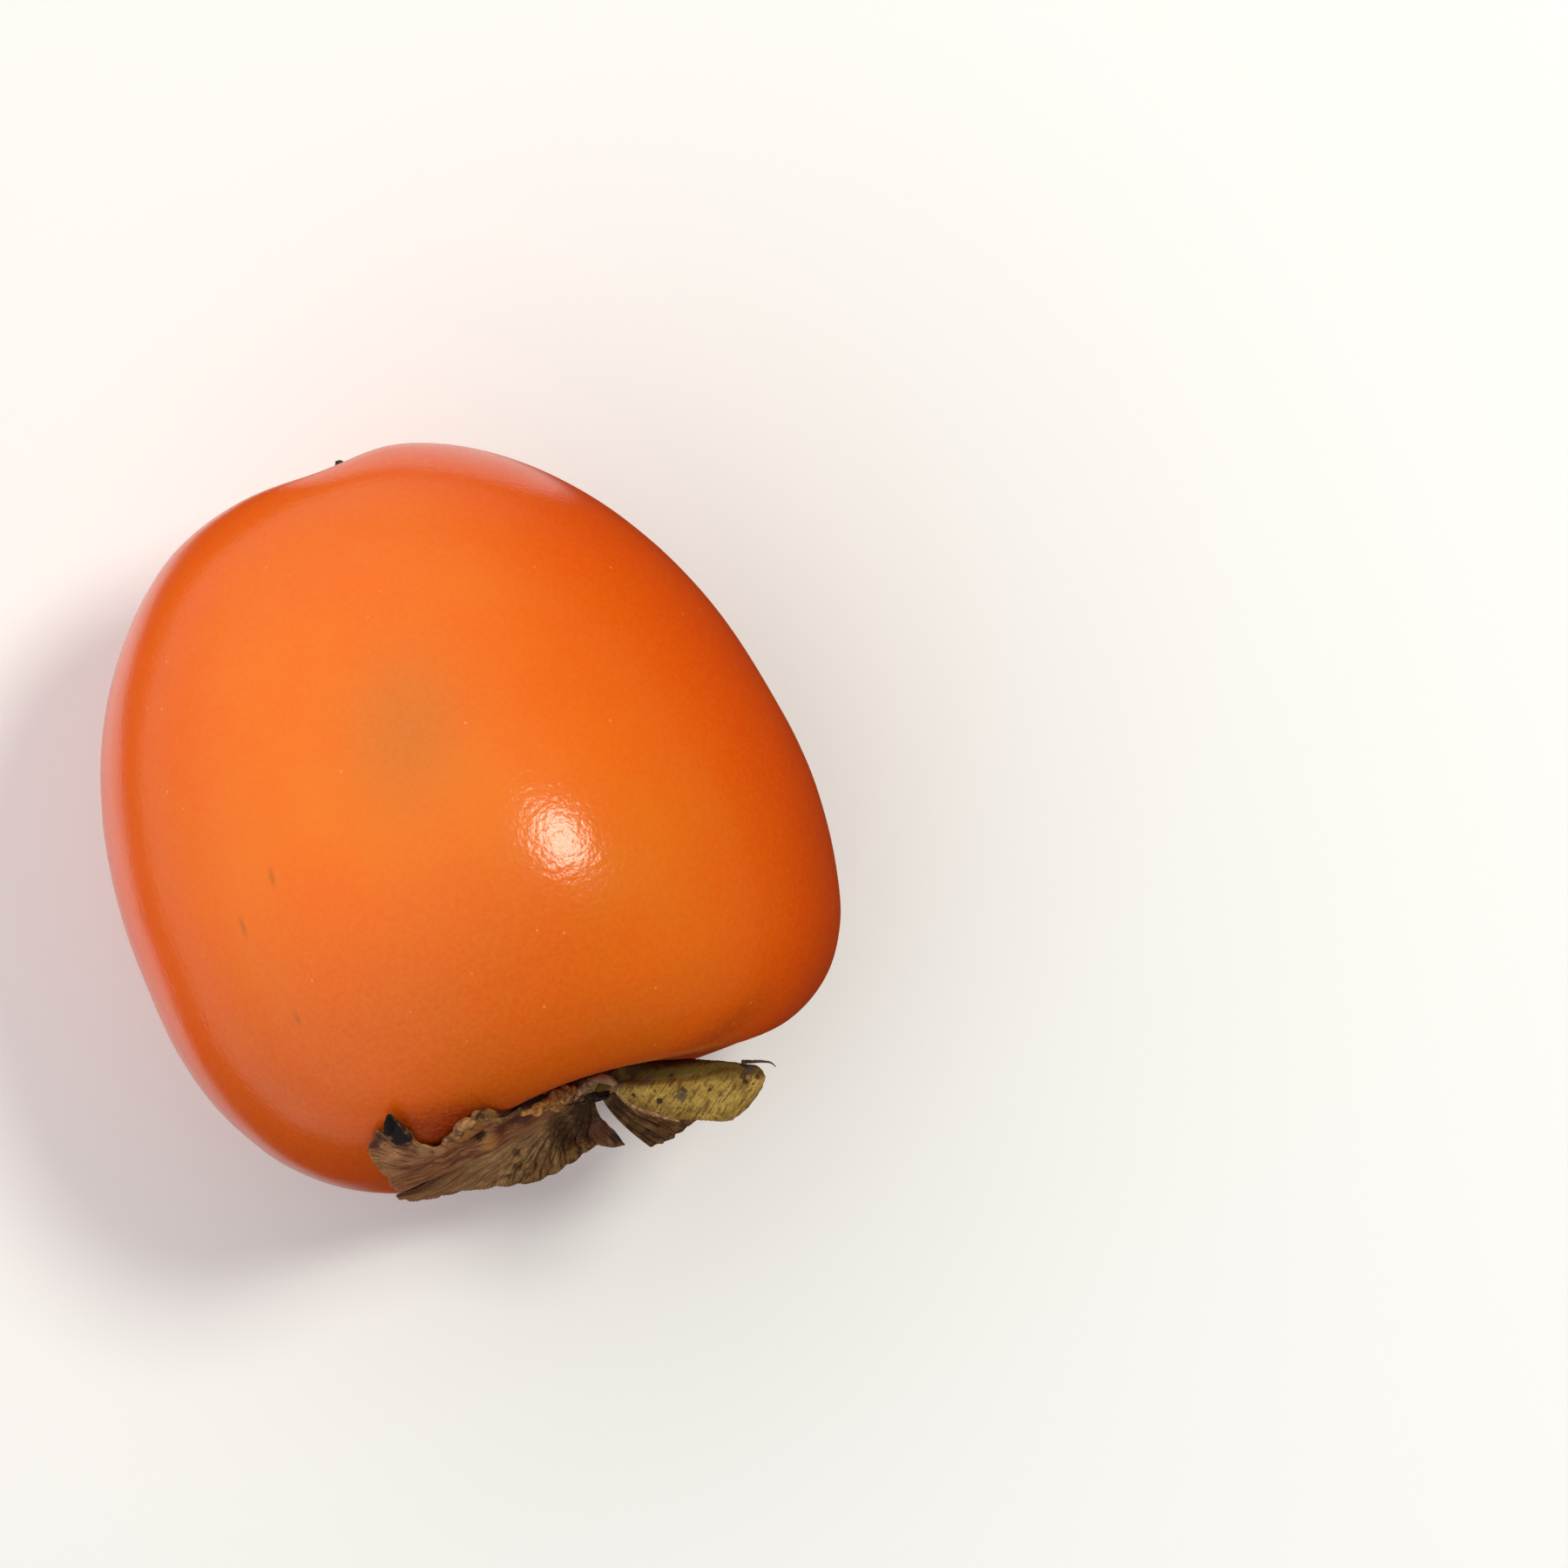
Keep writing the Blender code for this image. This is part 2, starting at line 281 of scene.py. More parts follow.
def floor_finish():
    """Plain and pale for the camera. For other light, painted shade and glow near the fruit, white cards, and
    a painted bright far part.
    """
    material, tree, shader = new_finish("pale floor")
    x, y, _ = parts_of(out(put(tree, "ShaderNodeTexCoord"), "Object"))
    lit = 0.0
    for way, away, radius in CARDS:
        middle = fruit_middle + view_direction(*way, 0) * away * MM
        distance = length_of(x - middle.x, y - middle.y)
        lit = 1 - distance.ease((radius - CARD_EDGE) * MM, (radius + CARD_EDGE) * MM) + lit
    x, y = x - fruit_middle.x, y - fruit_middle.y
    reach = length_of(x, y)
    bright = ((x * BRIGHT_WAY.x + y * BRIGHT_WAY.y) / reach).ease(DIM_UNTIL, BRIGHT_FROM)
    lit = lit + reach.ease(FAR_FROM * MM, FAR_TO * MM) * bright
    looked_at = out(put(tree, "ShaderNodeLightPath"), "Is Camera Ray")
    tone = blend(looked_at, blend(lit, FRUIT_SHADE_AND_GLOW, grey(CARD_TONE)), grey(FLOOR_TONE))
    fill(shader, {"Base Color": tone, "Roughness": 0.7, "Specular IOR Level": 0.1})
    return material


# %% The table's sheet
FLOOR_HALF = 6.0


def new_object(name, data):
    """An object for this mesh, lamp or camera, at the origin."""
    made = bpy.data.objects.new(name, data)
    scene.collection.objects.link(made)
    return made


floor_mesh = bpy.data.meshes.new("floor")
corners = [(x * FLOOR_HALF, y * FLOOR_HALF, 0.0) for x, y in ((-1, -1), (1, -1), (1, 1), (-1, 1))]
floor_mesh.from_pydata(corners, [], [(0, 1, 2, 3)])
floor_mesh.materials.append(floor_finish())
floor = new_object("floor", floor_mesh)

# %% [markdown]
# ## The camera
# The camera hangs straight above the fruit and is aimed a little to the side, as where two more pieces of
# fruit would lie. A long lens keeps the outline free of perspective swelling.

# %% Camera
CAMERA_DISTANCE = 0.9
PICTURE_WIDTH = 0.171
SENSOR = 36.0
AIM_RIGHT = 36.3 * MM
AIM_UP = 4.4 * MM
CLIP_END = 20.0

camera_data = bpy.data.cameras.new("camera")
camera_data.sensor_width = SENSOR
camera_data.lens = SENSOR * CAMERA_DISTANCE / PICTURE_WIDTH
camera_data.clip_end = CLIP_END
camera = new_object("camera", camera_data)
scene.camera = camera
up_in_view = view_direction(0, 1, 0)
aim = fruit_centre + view_direction(1, 0, 0) * AIM_RIGHT + up_in_view * AIM_UP
camera.location = fruit_centre + Vector((0, 0, CAMERA_DISTANCE))
forward = (aim - camera.location).normalized()
right_in_view = forward.cross(up_in_view).normalized()
camera_axes = Matrix((right_in_view, right_in_view.cross(forward), -forward)).transposed()
camera.rotation_euler = camera_axes.to_euler()
print("focal length in mm:", round(camera_data.lens, 1))

# %% [markdown]
# ## The lamp
# One small, round, warm lamp makes the highlight. It hangs where the skin mirrors it into the camera at one
# chosen place, right of the fruit's middle. That place's normal says where: the way to the camera, reflected
# in the normal. The solid model is made of flat facets, so the normal is a mean over four places near it.

# %% Finding places on the solid's skin
FAR_ABOVE = 60.0


def tree_of(mesh_object):
    """A mesh as a search tree, for finding its surface."""
    bm = bmesh.new()
    bm.from_mesh(mesh_object.data)
    found = BVHTree.FromBMesh(bm)
    bm.free()
    return found


solid_skin = tree_of(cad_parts["fruit"])


def on_upper_side(right, along):
    """The place on the skin above a point of the fruit's axis plane, in millimetres of the fruit's frame."""
    start = fruit_place @ (Vector((right, -FAR_ABOVE, along)) * MM)
    down = fruit_place.to_3x3() @ Vector((0, 1, 0))
    hit, _, _, _ = solid_skin.ray_cast(start, down)
    return tuple((fruit_place.inverted() @ hit) / MM)


# %% The lamp, from where its highlight is
HIGHLIGHT_RIGHT = 8.45
HIGHLIGHT_ALONG = -10.9
# Steps in millimetres to the four places whose normals are averaged.
NEAR_IT = ((2, 0, 0), (-2, 0, 0), (0, 2, 0), (0, -2, 0))
LAMP_DISTANCE = 0.9
LAMP_SIZE = 0.222
LAMP_RADIANCE = 31.0
LAMP_COLOUR = (1.0, 0.965, 0.84)


def mirror_way(place):
    """Where light has to come from, so that the skin at this place mirrors it into the camera."""
    mirror_point = fruit_place @ (Vector(place) * MM)
    near = [solid_skin.find_nearest(mirror_point + Vector(step) * MM)[1] for step in NEAR_IT]
    normal = sum(near, Vector()).normalized()
    to_camera = (camera.location - mirror_point).normalized()
    return 2 * normal.dot(to_camera) * normal - to_camera


# A face of one brightness gives off pi times that brightness from each square metre.
lamp_area = LAMP_SIZE * LAMP_SIZE * (math.pi / 4)
lamp_data = bpy.data.lights.new("lamp", "AREA")
lamp_data.shape = "DISK"
lamp_data.size = LAMP_SIZE
lamp_data.energy = LAMP_RADIANCE * math.pi * lamp_area
lamp_data.color = LAMP_COLOUR
lamp_way = mirror_way(on_upper_side(HIGHLIGHT_RIGHT, HIGHLIGHT_ALONG))
lamp = new_object("lamp", lamp_data)
lamp.location = fruit_middle + lamp_way * LAMP_DISTANCE
lamp.rotation_euler = (-lamp_way).to_track_quat("-Z", "Y").to_euler()
print("lamp's height above the table in degrees:", round(math.degrees(math.asin(lamp_way.z)), 1))

# %% [markdown]
# ## The fruit
# A persimmon grows like a turned pot: one outline swept round an axis, then pushed into four soft lobes, with
# a dimple at the tip and a basin at the stem end. Its shape follows a rule, so Geometry Nodes make it: a fine
# sphere is drawn out to the outline, and the lobes, the uneven shoulder, the dimple and a faint waviness are
# sums on top. The outline itself is a line of points, from tip to stem end.

# %% The outline, from the tip to the stem end
OUTLINE = (
    (0.0, 40.3), (4.5, 40.7), (9.5, 40.9), (14.5, 39.6), (19.2, 36.9), (25.2, 31.6), (29.9, 25.4),
    (33.8, 17.4), (36.5, 8.0), (37.7, -2.0), (37.9, -9.0), (37.3, -15.5), (35.7, -22.0), (33.2, -27.6),
    (29.0, -32.2), (23.5, -34.7), (17.5, -34.0), (11.0, -31.8), (0.0, -30.4),
)
OUTLINE_STEPS = 360


def smooth_outline(count):
    """(radius, height) rows on a smooth curve through the outline's points, flat at both ends."""
    points = np.array(OUTLINE)
    steps = np.hypot(*np.diff(points, axis=0).T)
    marks = np.concatenate([[0.0], np.cumsum(steps)]) / steps.sum()
    spans = np.diff(marks)[:, None]
    slopes = np.diff(points, axis=0) / spans
    tangents = np.empty_like(points)
    tangents[1:-1] = (slopes[:-1] * spans[1:] + slopes[1:] * spans[:-1]) / (spans[1:] + spans[:-1])
    tangents[0] = (slopes[0][0], 0.0)
    tangents[-1] = (slopes[-1][0], 0.0)
    share = np.linspace(0.0, 1.0, count)
    i = np.clip(np.searchsorted(marks, share, side="right") - 1, 0, len(points) - 2)
    span = spans[i]
    u = (share[:, None] - marks[i][:, None]) / span
    return (
        (2 * u**3 - 3 * u**2 + 1) * points[i]
        + (u**3 - 2 * u**2 + u) * span * tangents[i]
        + (3 * u**2 - 2 * u**3) * points[i + 1]
        + (u**3 - u**2) * span * tangents[i + 1]
    )


def outline_object(name):
    """The outline as a line of edges in the XZ plane, in millimetres."""
    rows = smooth_outline(OUTLINE_STEPS)
    rows[0, 0] = rows[-1, 0] = 0.0
    points = [(radius, 0.0, height) for radius, height in rows]
    edges = [(i, i + 1) for i in range(len(points) - 1)]
    mesh = bpy.data.meshes.new(name)
    mesh.from_pydata(points, edges, [])
    return new_object(name, mesh)


# %% [markdown]
# The tree has an input for every size that a grower would recognise, so that another fruit of this kind
# needs only other numbers. All of them are in millimetres, apart from the lobes, which are shares of the
# radius.

# %% The fruit's sizes
FRUIT_SIZES = {
    "Lobes at girth": 0.004,
    "Lobes at ends": 0.012,
    "Shoulder swell": -1.0,
    "Lean right": 1.8,
    "Lean up": 0.6,
    "Saddle along": 0.75,
    "Saddle across": 0.9,
    "Shoulder lobes": 0.45,
    "Dimple offset": 5.0,
    "Dimple depth": 0.9,
    "Dimple width": 4.5,
    "Groove depth": 1.1,
    "Groove reach": 9.0,
    "Waviness": 0.16,
    "Floor softness": 0.5,
}


# %% A geometry tree with named inputs
def new_geometry_tree(name, sizes):
    """A tree with named number inputs. Returns it, its input wires by name and its output node."""
    tree = bpy.data.node_groups.new(name, "GeometryNodeTree")
    tree.interface.new_socket("Geometry", in_out="INPUT", socket_type="NodeSocketGeometry")
    for size in sizes:
        tree.interface.new_socket(size, in_out="INPUT", socket_type="NodeSocketFloat")
    tree.interface.new_socket("Finish", in_out="INPUT", socket_type="NodeSocketMaterial")
    tree.interface.new_socket("Geometry", in_out="OUTPUT", socket_type="NodeSocketGeometry")
    inputs = tree.nodes.new("NodeGroupInput")
    wires = {socket.name: Wire(socket) for socket in inputs.outputs if socket.name}
    return tree, wires, tree.nodes.new("NodeGroupOutput")


def grow(obj, tree, sizes, finish):
    """Runs the tree on the object with these sizes, and leaves it with the plain mesh that this makes."""
    modifier = obj.modifiers.new(tree.name, "NODES")
    modifier.node_group = tree
    values = {**sizes, "Finish": finish}
    for item in tree.interface.items_tree:
        if item.in_out == "INPUT" and item.name in values:
            modifier[item.identifier] = values[item.name]
    graph = bpy.context.evaluated_depsgraph_get()
    mesh = bpy.data.meshes.new_from_object(obj.evaluated_get(graph))
    obj.modifiers.clear()
    obj.data = mesh
    mesh.name = obj.name
    return obj


# %% [markdown]
# A point of the sphere knows two things: its height, which says how far along the outline it belongs, and
# its angle round the axis. The outline gives its new radius and height. The lobes, and the lean and the
# saddle of the shoulder, follow the angle. The dimple and the four grooves round it follow the distance from
# the dimple's own middle, which isn't quite on the axis.

# %% Where each point of the sphere goes
# Heights above or below the middle over which the shoulder, the tip and the dimple come in.
SHOULDER_SPAN = (6.0, 34.0)
TIP_SPAN = (8.0, 40.0)
DIMPLE_SPAN = (25.0, 38.0)
TIP_LOBES = 0.7
LEAN_RADIUS = 25.0
RIM_RADIUS = 20.0


def grown_position(tree, size):
    """The new position of each point of a sphere of radius 1."""
    x, y, z = parts_of(out(put(tree, "GeometryNodeInputPosition")))
    share = z.calc("MINIMUM", 1.0).calc("MAXIMUM", -1.0).calc("ARCCOSINE") / math.pi
    angle = (y * -1).calc("ARCTAN2", x)
    line = put(tree, "GeometryNodeMeshToCurve", {"Mesh": size["Geometry"]})
    sample = put(tree, "GeometryNodeSampleCurve", {"Curves": out(line), "Factor": share}, mode="FACTOR")
    radius, _, height = parts_of(out(sample, "Position"))

    shoulder = (height * -1).ease(*SHOULDER_SPAN)
    lobe = (angle * 4).calc("COSINE") * -1
    ends = shoulder.calc("MAXIMUM", height.ease(*TIP_SPAN) * TIP_LOBES)
    radius = radius * (1 + lobe * (size["Lobes at girth"] + size["Lobes at ends"] * ends))
    right = radius * angle.calc("COSINE")
    up = radius * angle.calc("SINE")

    lean = size["Lean right"] * angle.calc("COSINE") + size["Lean up"] * angle.calc("SINE")
    two = angle * 2
    saddle = size["Saddle along"] * two.calc("COSINE") + size["Saddle across"] * two.calc("SINE")
    rim = radius.ease(0.0, RIM_RADIUS)
    swell = size["Shoulder swell"] + saddle + size["Shoulder lobes"] * lobe
    swell = lean * radius / LEAN_RADIUS + rim * swell

    width = size["Dimple width"]
    from_dimple = right - size["Dimple offset"]
    reach = length_of(from_dimple, up)
    hollow = size["Dimple depth"] * reach.bell(width)
    grooves = from_dimple.bell(width) + up.bell(width)
    hollow = hollow + size["Groove depth"] * grooves * (reach - size["Groove reach"]).bell(width)
    return vector_of(right, up * -1, height - shoulder * swell - height.ease(*DIMPLE_SPAN) * hollow)


# %% [markdown]
# The tree draws the sphere out, adds the waviness along each point's normal, lays the fruit down in its
# place and lets its underside flatten softly where it rests on the table.

# %% The fruit's tree
FRUIT_SEGMENTS = 300
FRUIT_RINGS = 220
WAVE_SCALE = 0.055


def fruit_tree():
    """From the outline's line of edges to the finished skin."""
    tree, size, end = new_geometry_tree("grow a persimmon", FRUIT_SIZES)
    sphere_sizes = {"Segments": FRUIT_SEGMENTS, "Rings": FRUIT_RINGS, "Radius": 1.0}
    sphere = put(tree, "GeometryNodeMeshUVSphere", sphere_sizes)
    drawn_out = {"Geometry": out(sphere, "Mesh"), "Position": grown_position(tree, size)}
    drawn = put(tree, "GeometryNodeSetPosition", drawn_out)

    broad = cloud(out(put(tree, "GeometryNodeInputPosition")), WAVE_SCALE, 2.0, 0.45)
    normal = out(put(tree, "GeometryNodeInputNormal"), "Normal")
    wave = (broad - 0.5) * size["Waviness"] * 2
    offset = put(tree, "ShaderNodeVectorMath", {0: normal, "Scale": wave}, operation="SCALE")
    waved = put(tree, "GeometryNodeSetPosition", {"Geometry": out(drawn), "Offset": out(offset)})

    place = {"Translation": fruit_centre, "Rotation": fruit_turn, "Scale": (MM, MM, MM)}
    placed = put(tree, "GeometryNodeTransform", {"Geometry": out(waved), **place})
    x, y, z = parts_of(out(put(tree, "GeometryNodeInputPosition")))
    softness = size["Floor softness"] * MM
    lifted = put(tree, "ShaderNodeMath", {0: z, 1: softness / 6, 2: softness}, operation="SMOOTH_MAX")
    resting = {"Geometry": out(placed), "Position": vector_of(x, y, out(lifted) - softness / 6)}
    rested = put(tree, "GeometryNodeSetPosition", resting)

    smooth = put(tree, "GeometryNodeSetShadeSmooth", {"Geometry": out(rested)})
    real = put(tree, "GeometryNodeRealizeInstances", {"Geometry": out(smooth)})
    finished = put(tree, "GeometryNodeSetMaterial", {"Geometry": out(real), "Material": size["Finish"]})
    plug(out(finished), end.inputs[0])
    return tree


# %% [markdown]
# ## Finishes shared by several pieces
# Two effects come back on every surface here: soft-edged blotches of another tone, and single marks at one
# place. Each is a node group with named inputs and one output, a mask, so that a material only gives it
# sizes. Both work in the millimetres of the fruit's or the calyx's own frame, which a Mapping node makes from
# Object coordinates.

# %% Making and placing shader groups
NOWHERE = (0.0, 0.0, 0.0)


def new_shader_group(name, inputs):
    """A shader group with these inputs and one output, Mask. Returns its input wires and its Mask socket."""
    tree = bpy.data.node_groups.new(name, "ShaderNodeTree")
    for socket, value in inputs.items():
        kind = "NodeSocketVector" if isinstance(value, tuple) else "NodeSocketFloat"
        tree.interface.new_socket(socket, in_out="INPUT", socket_type=kind).default_value = value
    tree.interface.new_socket("Mask", in_out="OUTPUT", socket_type="NodeSocketFloat")
    entry = tree.nodes.new("NodeGroupInput")
    wires = {socket.name: Wire(socket) for socket in entry.outputs if socket.name}
    return wires, tree.nodes.new("NodeGroupOutput").inputs["Mask"]


def effect(group, vector, **sizes):
    """Places a shader group in the vector's tree with these sizes, and returns its mask."""
    made = put(vector.tree, "ShaderNodeGroup", node_tree=group)
    fill(made, {"Vector": vector, **{name.capitalize(): value for name, value in sizes.items()}})
    return out(made, "Mask")


def own_frame(tree, place):
    """Object coordinates turned into millimetres of the frame that lies at this place."""
    seat, turn, _ = place.decompose()
    inputs = {
        "Vector": out(put(tree, "ShaderNodeTexCoord"), "Object"),
        "Location": seat,
        "Rotation": turn.to_euler(),
        "Scale": (MM, MM, MM),
    }
    return out(put(tree, "ShaderNodeMapping", inputs, vector_type="TEXTURE"))


# %% Blotches, single marks and pits
def make_blotches():
    """Soft patches of a given size, between two levels of a noise."""
    wires, mask = new_shader_group("soft blotches", {"Vector": NOWHERE, "Size": 5.0, "Low": 0.4, "High": 0.6})
    patches = cloud(wires["Vector"], 1.0 / wires["Size"], 4.0, 0.55)
    plug(patches.ease(wires["Low"], wires["High"]), mask)
    return mask.id_data


def make_mark():
    """One mark with a soft edge, stretched along a direction."""
    inputs = {"Vector": NOWHERE, "Centre": NOWHERE, "Along": (0.0, 0.0, 1.0), "Length": 5.0, "Width": 5.0}
    wires, mask = new_shader_group("single mark", inputs)
    away = vector_math("SUBTRACT", wires["Vector"], wires["Centre"])
    along = vector_math("DOT_PRODUCT", away, wires["Along"], output="Value")
    whole = vector_math("LENGTH", away, output="Value")
    side = (whole * whole - along * along).calc("MAXIMUM", 0.0).calc("SQRT")
    plug(along.bell(wires["Length"]) * side.bell(wires["Width"]), mask)
    return mask.id_data


def bumped(height, depth):
    """The normal of a surface whose height goes from 0 to 1 over this depth in millimetres."""
    inputs = {"Strength": 1.0, "Distance": depth * MM, "Height": height}
    return out(put(height.tree, "ShaderNodeBump", inputs))


BLOTCHES = make_blotches()
MARK = make_mark()

# %% [markdown]
# ## Persimmon skin
# Ripe skin is a thin, waxy film over soft flesh. Light goes a little way in, so it glows, and the wax on top
# gives a clear reflection broken up by shallow pits, as on an orange. The upper side is a lighter orange, and
# the sides go towards red. Towards the stem end the skin is painted darker, as shade, less so to the right.
# There are a few rubbed marks, a brownish smudge and pale dots, and dark red painted shade beside the calyx,
# where the sepals shade the skin. Painting these on a picture would need an unwrapped skin. Masks from the
# fruit's own frame need none, and stay where they are from every side.

# %% The skin's tones and marks
SUNNY = colour(0.87, 0.183, 0.007)
RED_SIDE = colour(0.88, 0.078, 0.002)
GOLD = colour(0.86, 0.215, 0.006)
SMUDGE = colour(0.66, 0.175, 0.02)
SCAR = colour(0.36, 0.10, 0.012)
STEM_END_SHADE = colour(0.55, 0.087, 0.004)
PALE_DOT = colour(0.9, 0.42, 0.16)
CALYX_SHADE = colour(0.14, 0.013, 0.008)
# Where a broad tone comes in, in millimetres: upwards, to the right and towards the stem end, where the
# darker tone is painted shade.
UPPER_SPAN = (6.0, 36.0)
RIGHT_SPAN = (4.0, 40.0)
STEM_END_SPAN = (-2.0, 24.0)
STEM_END_RIGHT = (0.0, 26.0)
# Marks on the upper side: right, along, the way each is drawn out, its length, width and strength.
GLEAM = ((12.0, -18.0, (1.0, 0.0, 0.0), 13.0, 9.0, 0.8),)
# Painted shade beside the calyx, where the sepals and the stem end shade the skin.
CALYX_SHADES = (
    (-15.4, -31.0, (0.98, 0.0, 0.2), 5.5, 2.6, 0.7),
    (-16.3, -31.1, (0.98, 0.0, 0.2), 2.8, 2.4, 0.95),
    (-14.2, -31.3, (0.98, 0.0, 0.2), 2.8, 2.2, 0.95),
    (14.5, -35.6, (0.98, 0.0, 0.2), 5.0, 1.8, 0.4),
)
SMUDGES = ((0.3, 6.4, (0.45, 0.0, 0.89), 6.5, 4.5, 0.85),)
SCARS = (
    (-24.4, -3.2, (0.3, 0.1, 0.95), 0.9, 0.22, 0.55),
    (-19.3, -0.4, (0.3, 0.1, 0.95), 0.7, 0.22, 0.55),
    (-23.7, -14.6, (0.3, 0.1, 0.95), 1.0, 0.22, 0.55),
)


def marked(base, spot, marks, tone):
    """A colour with a table of marks of this tone over it."""
    for right, along, way, length, width, strength in marks:
        centre = on_upper_side(right, along)
        mark = effect(MARK, spot, centre=centre, along=way, length=length, width=width)
        base = blend(mark * strength, base, tone)
    return base


# %% The skin's colour
def skin_colour(spot):
    """From the broad tones of the whole fruit down to single marks and dots."""
    right, down, along = parts_of(spot)
    base = blend((down * -1).ease(*UPPER_SPAN), RED_SIDE, SUNNY)
    base = blend(right.ease(*RIGHT_SPAN) * 0.7, base, RED_SIDE)
    base = marked(base, spot, GLEAM, GOLD)
    # Painted shade: the skin is darker towards the stem end, and less so to the right.
    shoulder = (along * -1).ease(*STEM_END_SPAN) * (1 - right.ease(*STEM_END_RIGHT) * 0.7)
    base = blend(shoulder * 0.62, base, STEM_END_SHADE)
    # Painted shade beside the calyx.
    base = marked(base, spot, CALYX_SHADES, CALYX_SHADE)
    base = blend(effect(BLOTCHES, spot, size=14.0, low=0.3, high=0.7) * 0.3, base, RED_SIDE)
    base = marked(base, spot, SMUDGES, SMUDGE)
    base = blend(effect(BLOTCHES, spot, size=0.5, low=0.35, high=0.65) * 0.22, base, GOLD)
    base = marked(base, spot, SCARS, SCAR)
    dots = put(spot.tree, "ShaderNodeTexVoronoi", {"Vector": spot, "Scale": 0.28, "Randomness": 1.0})
    return blend((1 - out(dots, "Distance").ease(0.02, 0.06)) * 0.5, base, PALE_DOT)


# %% [markdown]
# The flesh below gets a weak subsurface glow, and the wax is a coat over it. The pits are far finer than the
# mesh, so they are a bump, which the flesh and the wax share. A coarser and a finer noise together keep them
# from looking like one pattern.

# %% The skin's finish
PIT_DEPTH = 0.033


def persimmon_skin():
    material, tree, shader = new_finish("persimmon skin")
    spot = own_frame(tree, fruit_place)
    pits = cloud(spot, 1.5, 1.0, 0.5) + cloud(spot, 3.5, 2.0, 0.5) * 0.35
    dimpled = bumped(pits, PIT_DEPTH)
    wear = effect(BLOTCHES, spot, size=9.0, low=0.35, high=0.65)
    fill(shader, {
        "Base Color": skin_colour(spot),
        "Roughness": 0.42 + wear * 0.08,
        "Specular IOR Level": 0.06,
        "Normal": dimpled,
        "Coat Normal": dimpled,
        "Coat Weight": 0.75,
        "Coat Roughness": 0.15,
        "Coat IOR": 1.37,
        "Subsurface Weight": 0.12,
        "Subsurface Radius": (1.0, 0.25, 0.08),
        "Subsurface Scale": 3.0 * MM,
    })
    return material


# %% Grow the fruit
fruit = grow(outline_object("fruit_skin"), fruit_tree(), FRUIT_SIZES, persimmon_skin())
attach(fruit, "root")
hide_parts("fruit")


def triangles(obj):
    obj.data.calc_loop_triangles()
    return len(obj.data.loop_triangles)


CHECK_EVERY = 37
gaps = [solid_skin.find_nearest(vert.co)[3] for vert in fruit.data.vertices[:][::CHECK_EVERY]]
print("fruit:", triangles(fruit), "triangles, furthest from the solid in mm:", round(max(gaps) / MM, 3))
points = np.array([vert.co for vert in fruit.data.vertices])
print("fruit box in mm:", (points.min(0) / MM).round(2), (points.max(0) / MM).round(2))
print("solid box in mm:", [round(v / MM, 2) for v in fruit_low], [round(v / MM, 2) for v in fruit_high])

# %% [markdown]
# ## The dried calyx
# Four sepals sit on a small ring round the stem. Each was once a flat green leaf. Drying pulled it into
# pleats between its veins, curled its margin and crumpled it. So a sepal here starts as a fan of rays from
# its foot on the ring to its margin, each bent through a middle point, and the drying is added as small moves
# along the sheet's own normal. Cloth simulation could crumple a flat leaf too, but not into chosen folds.

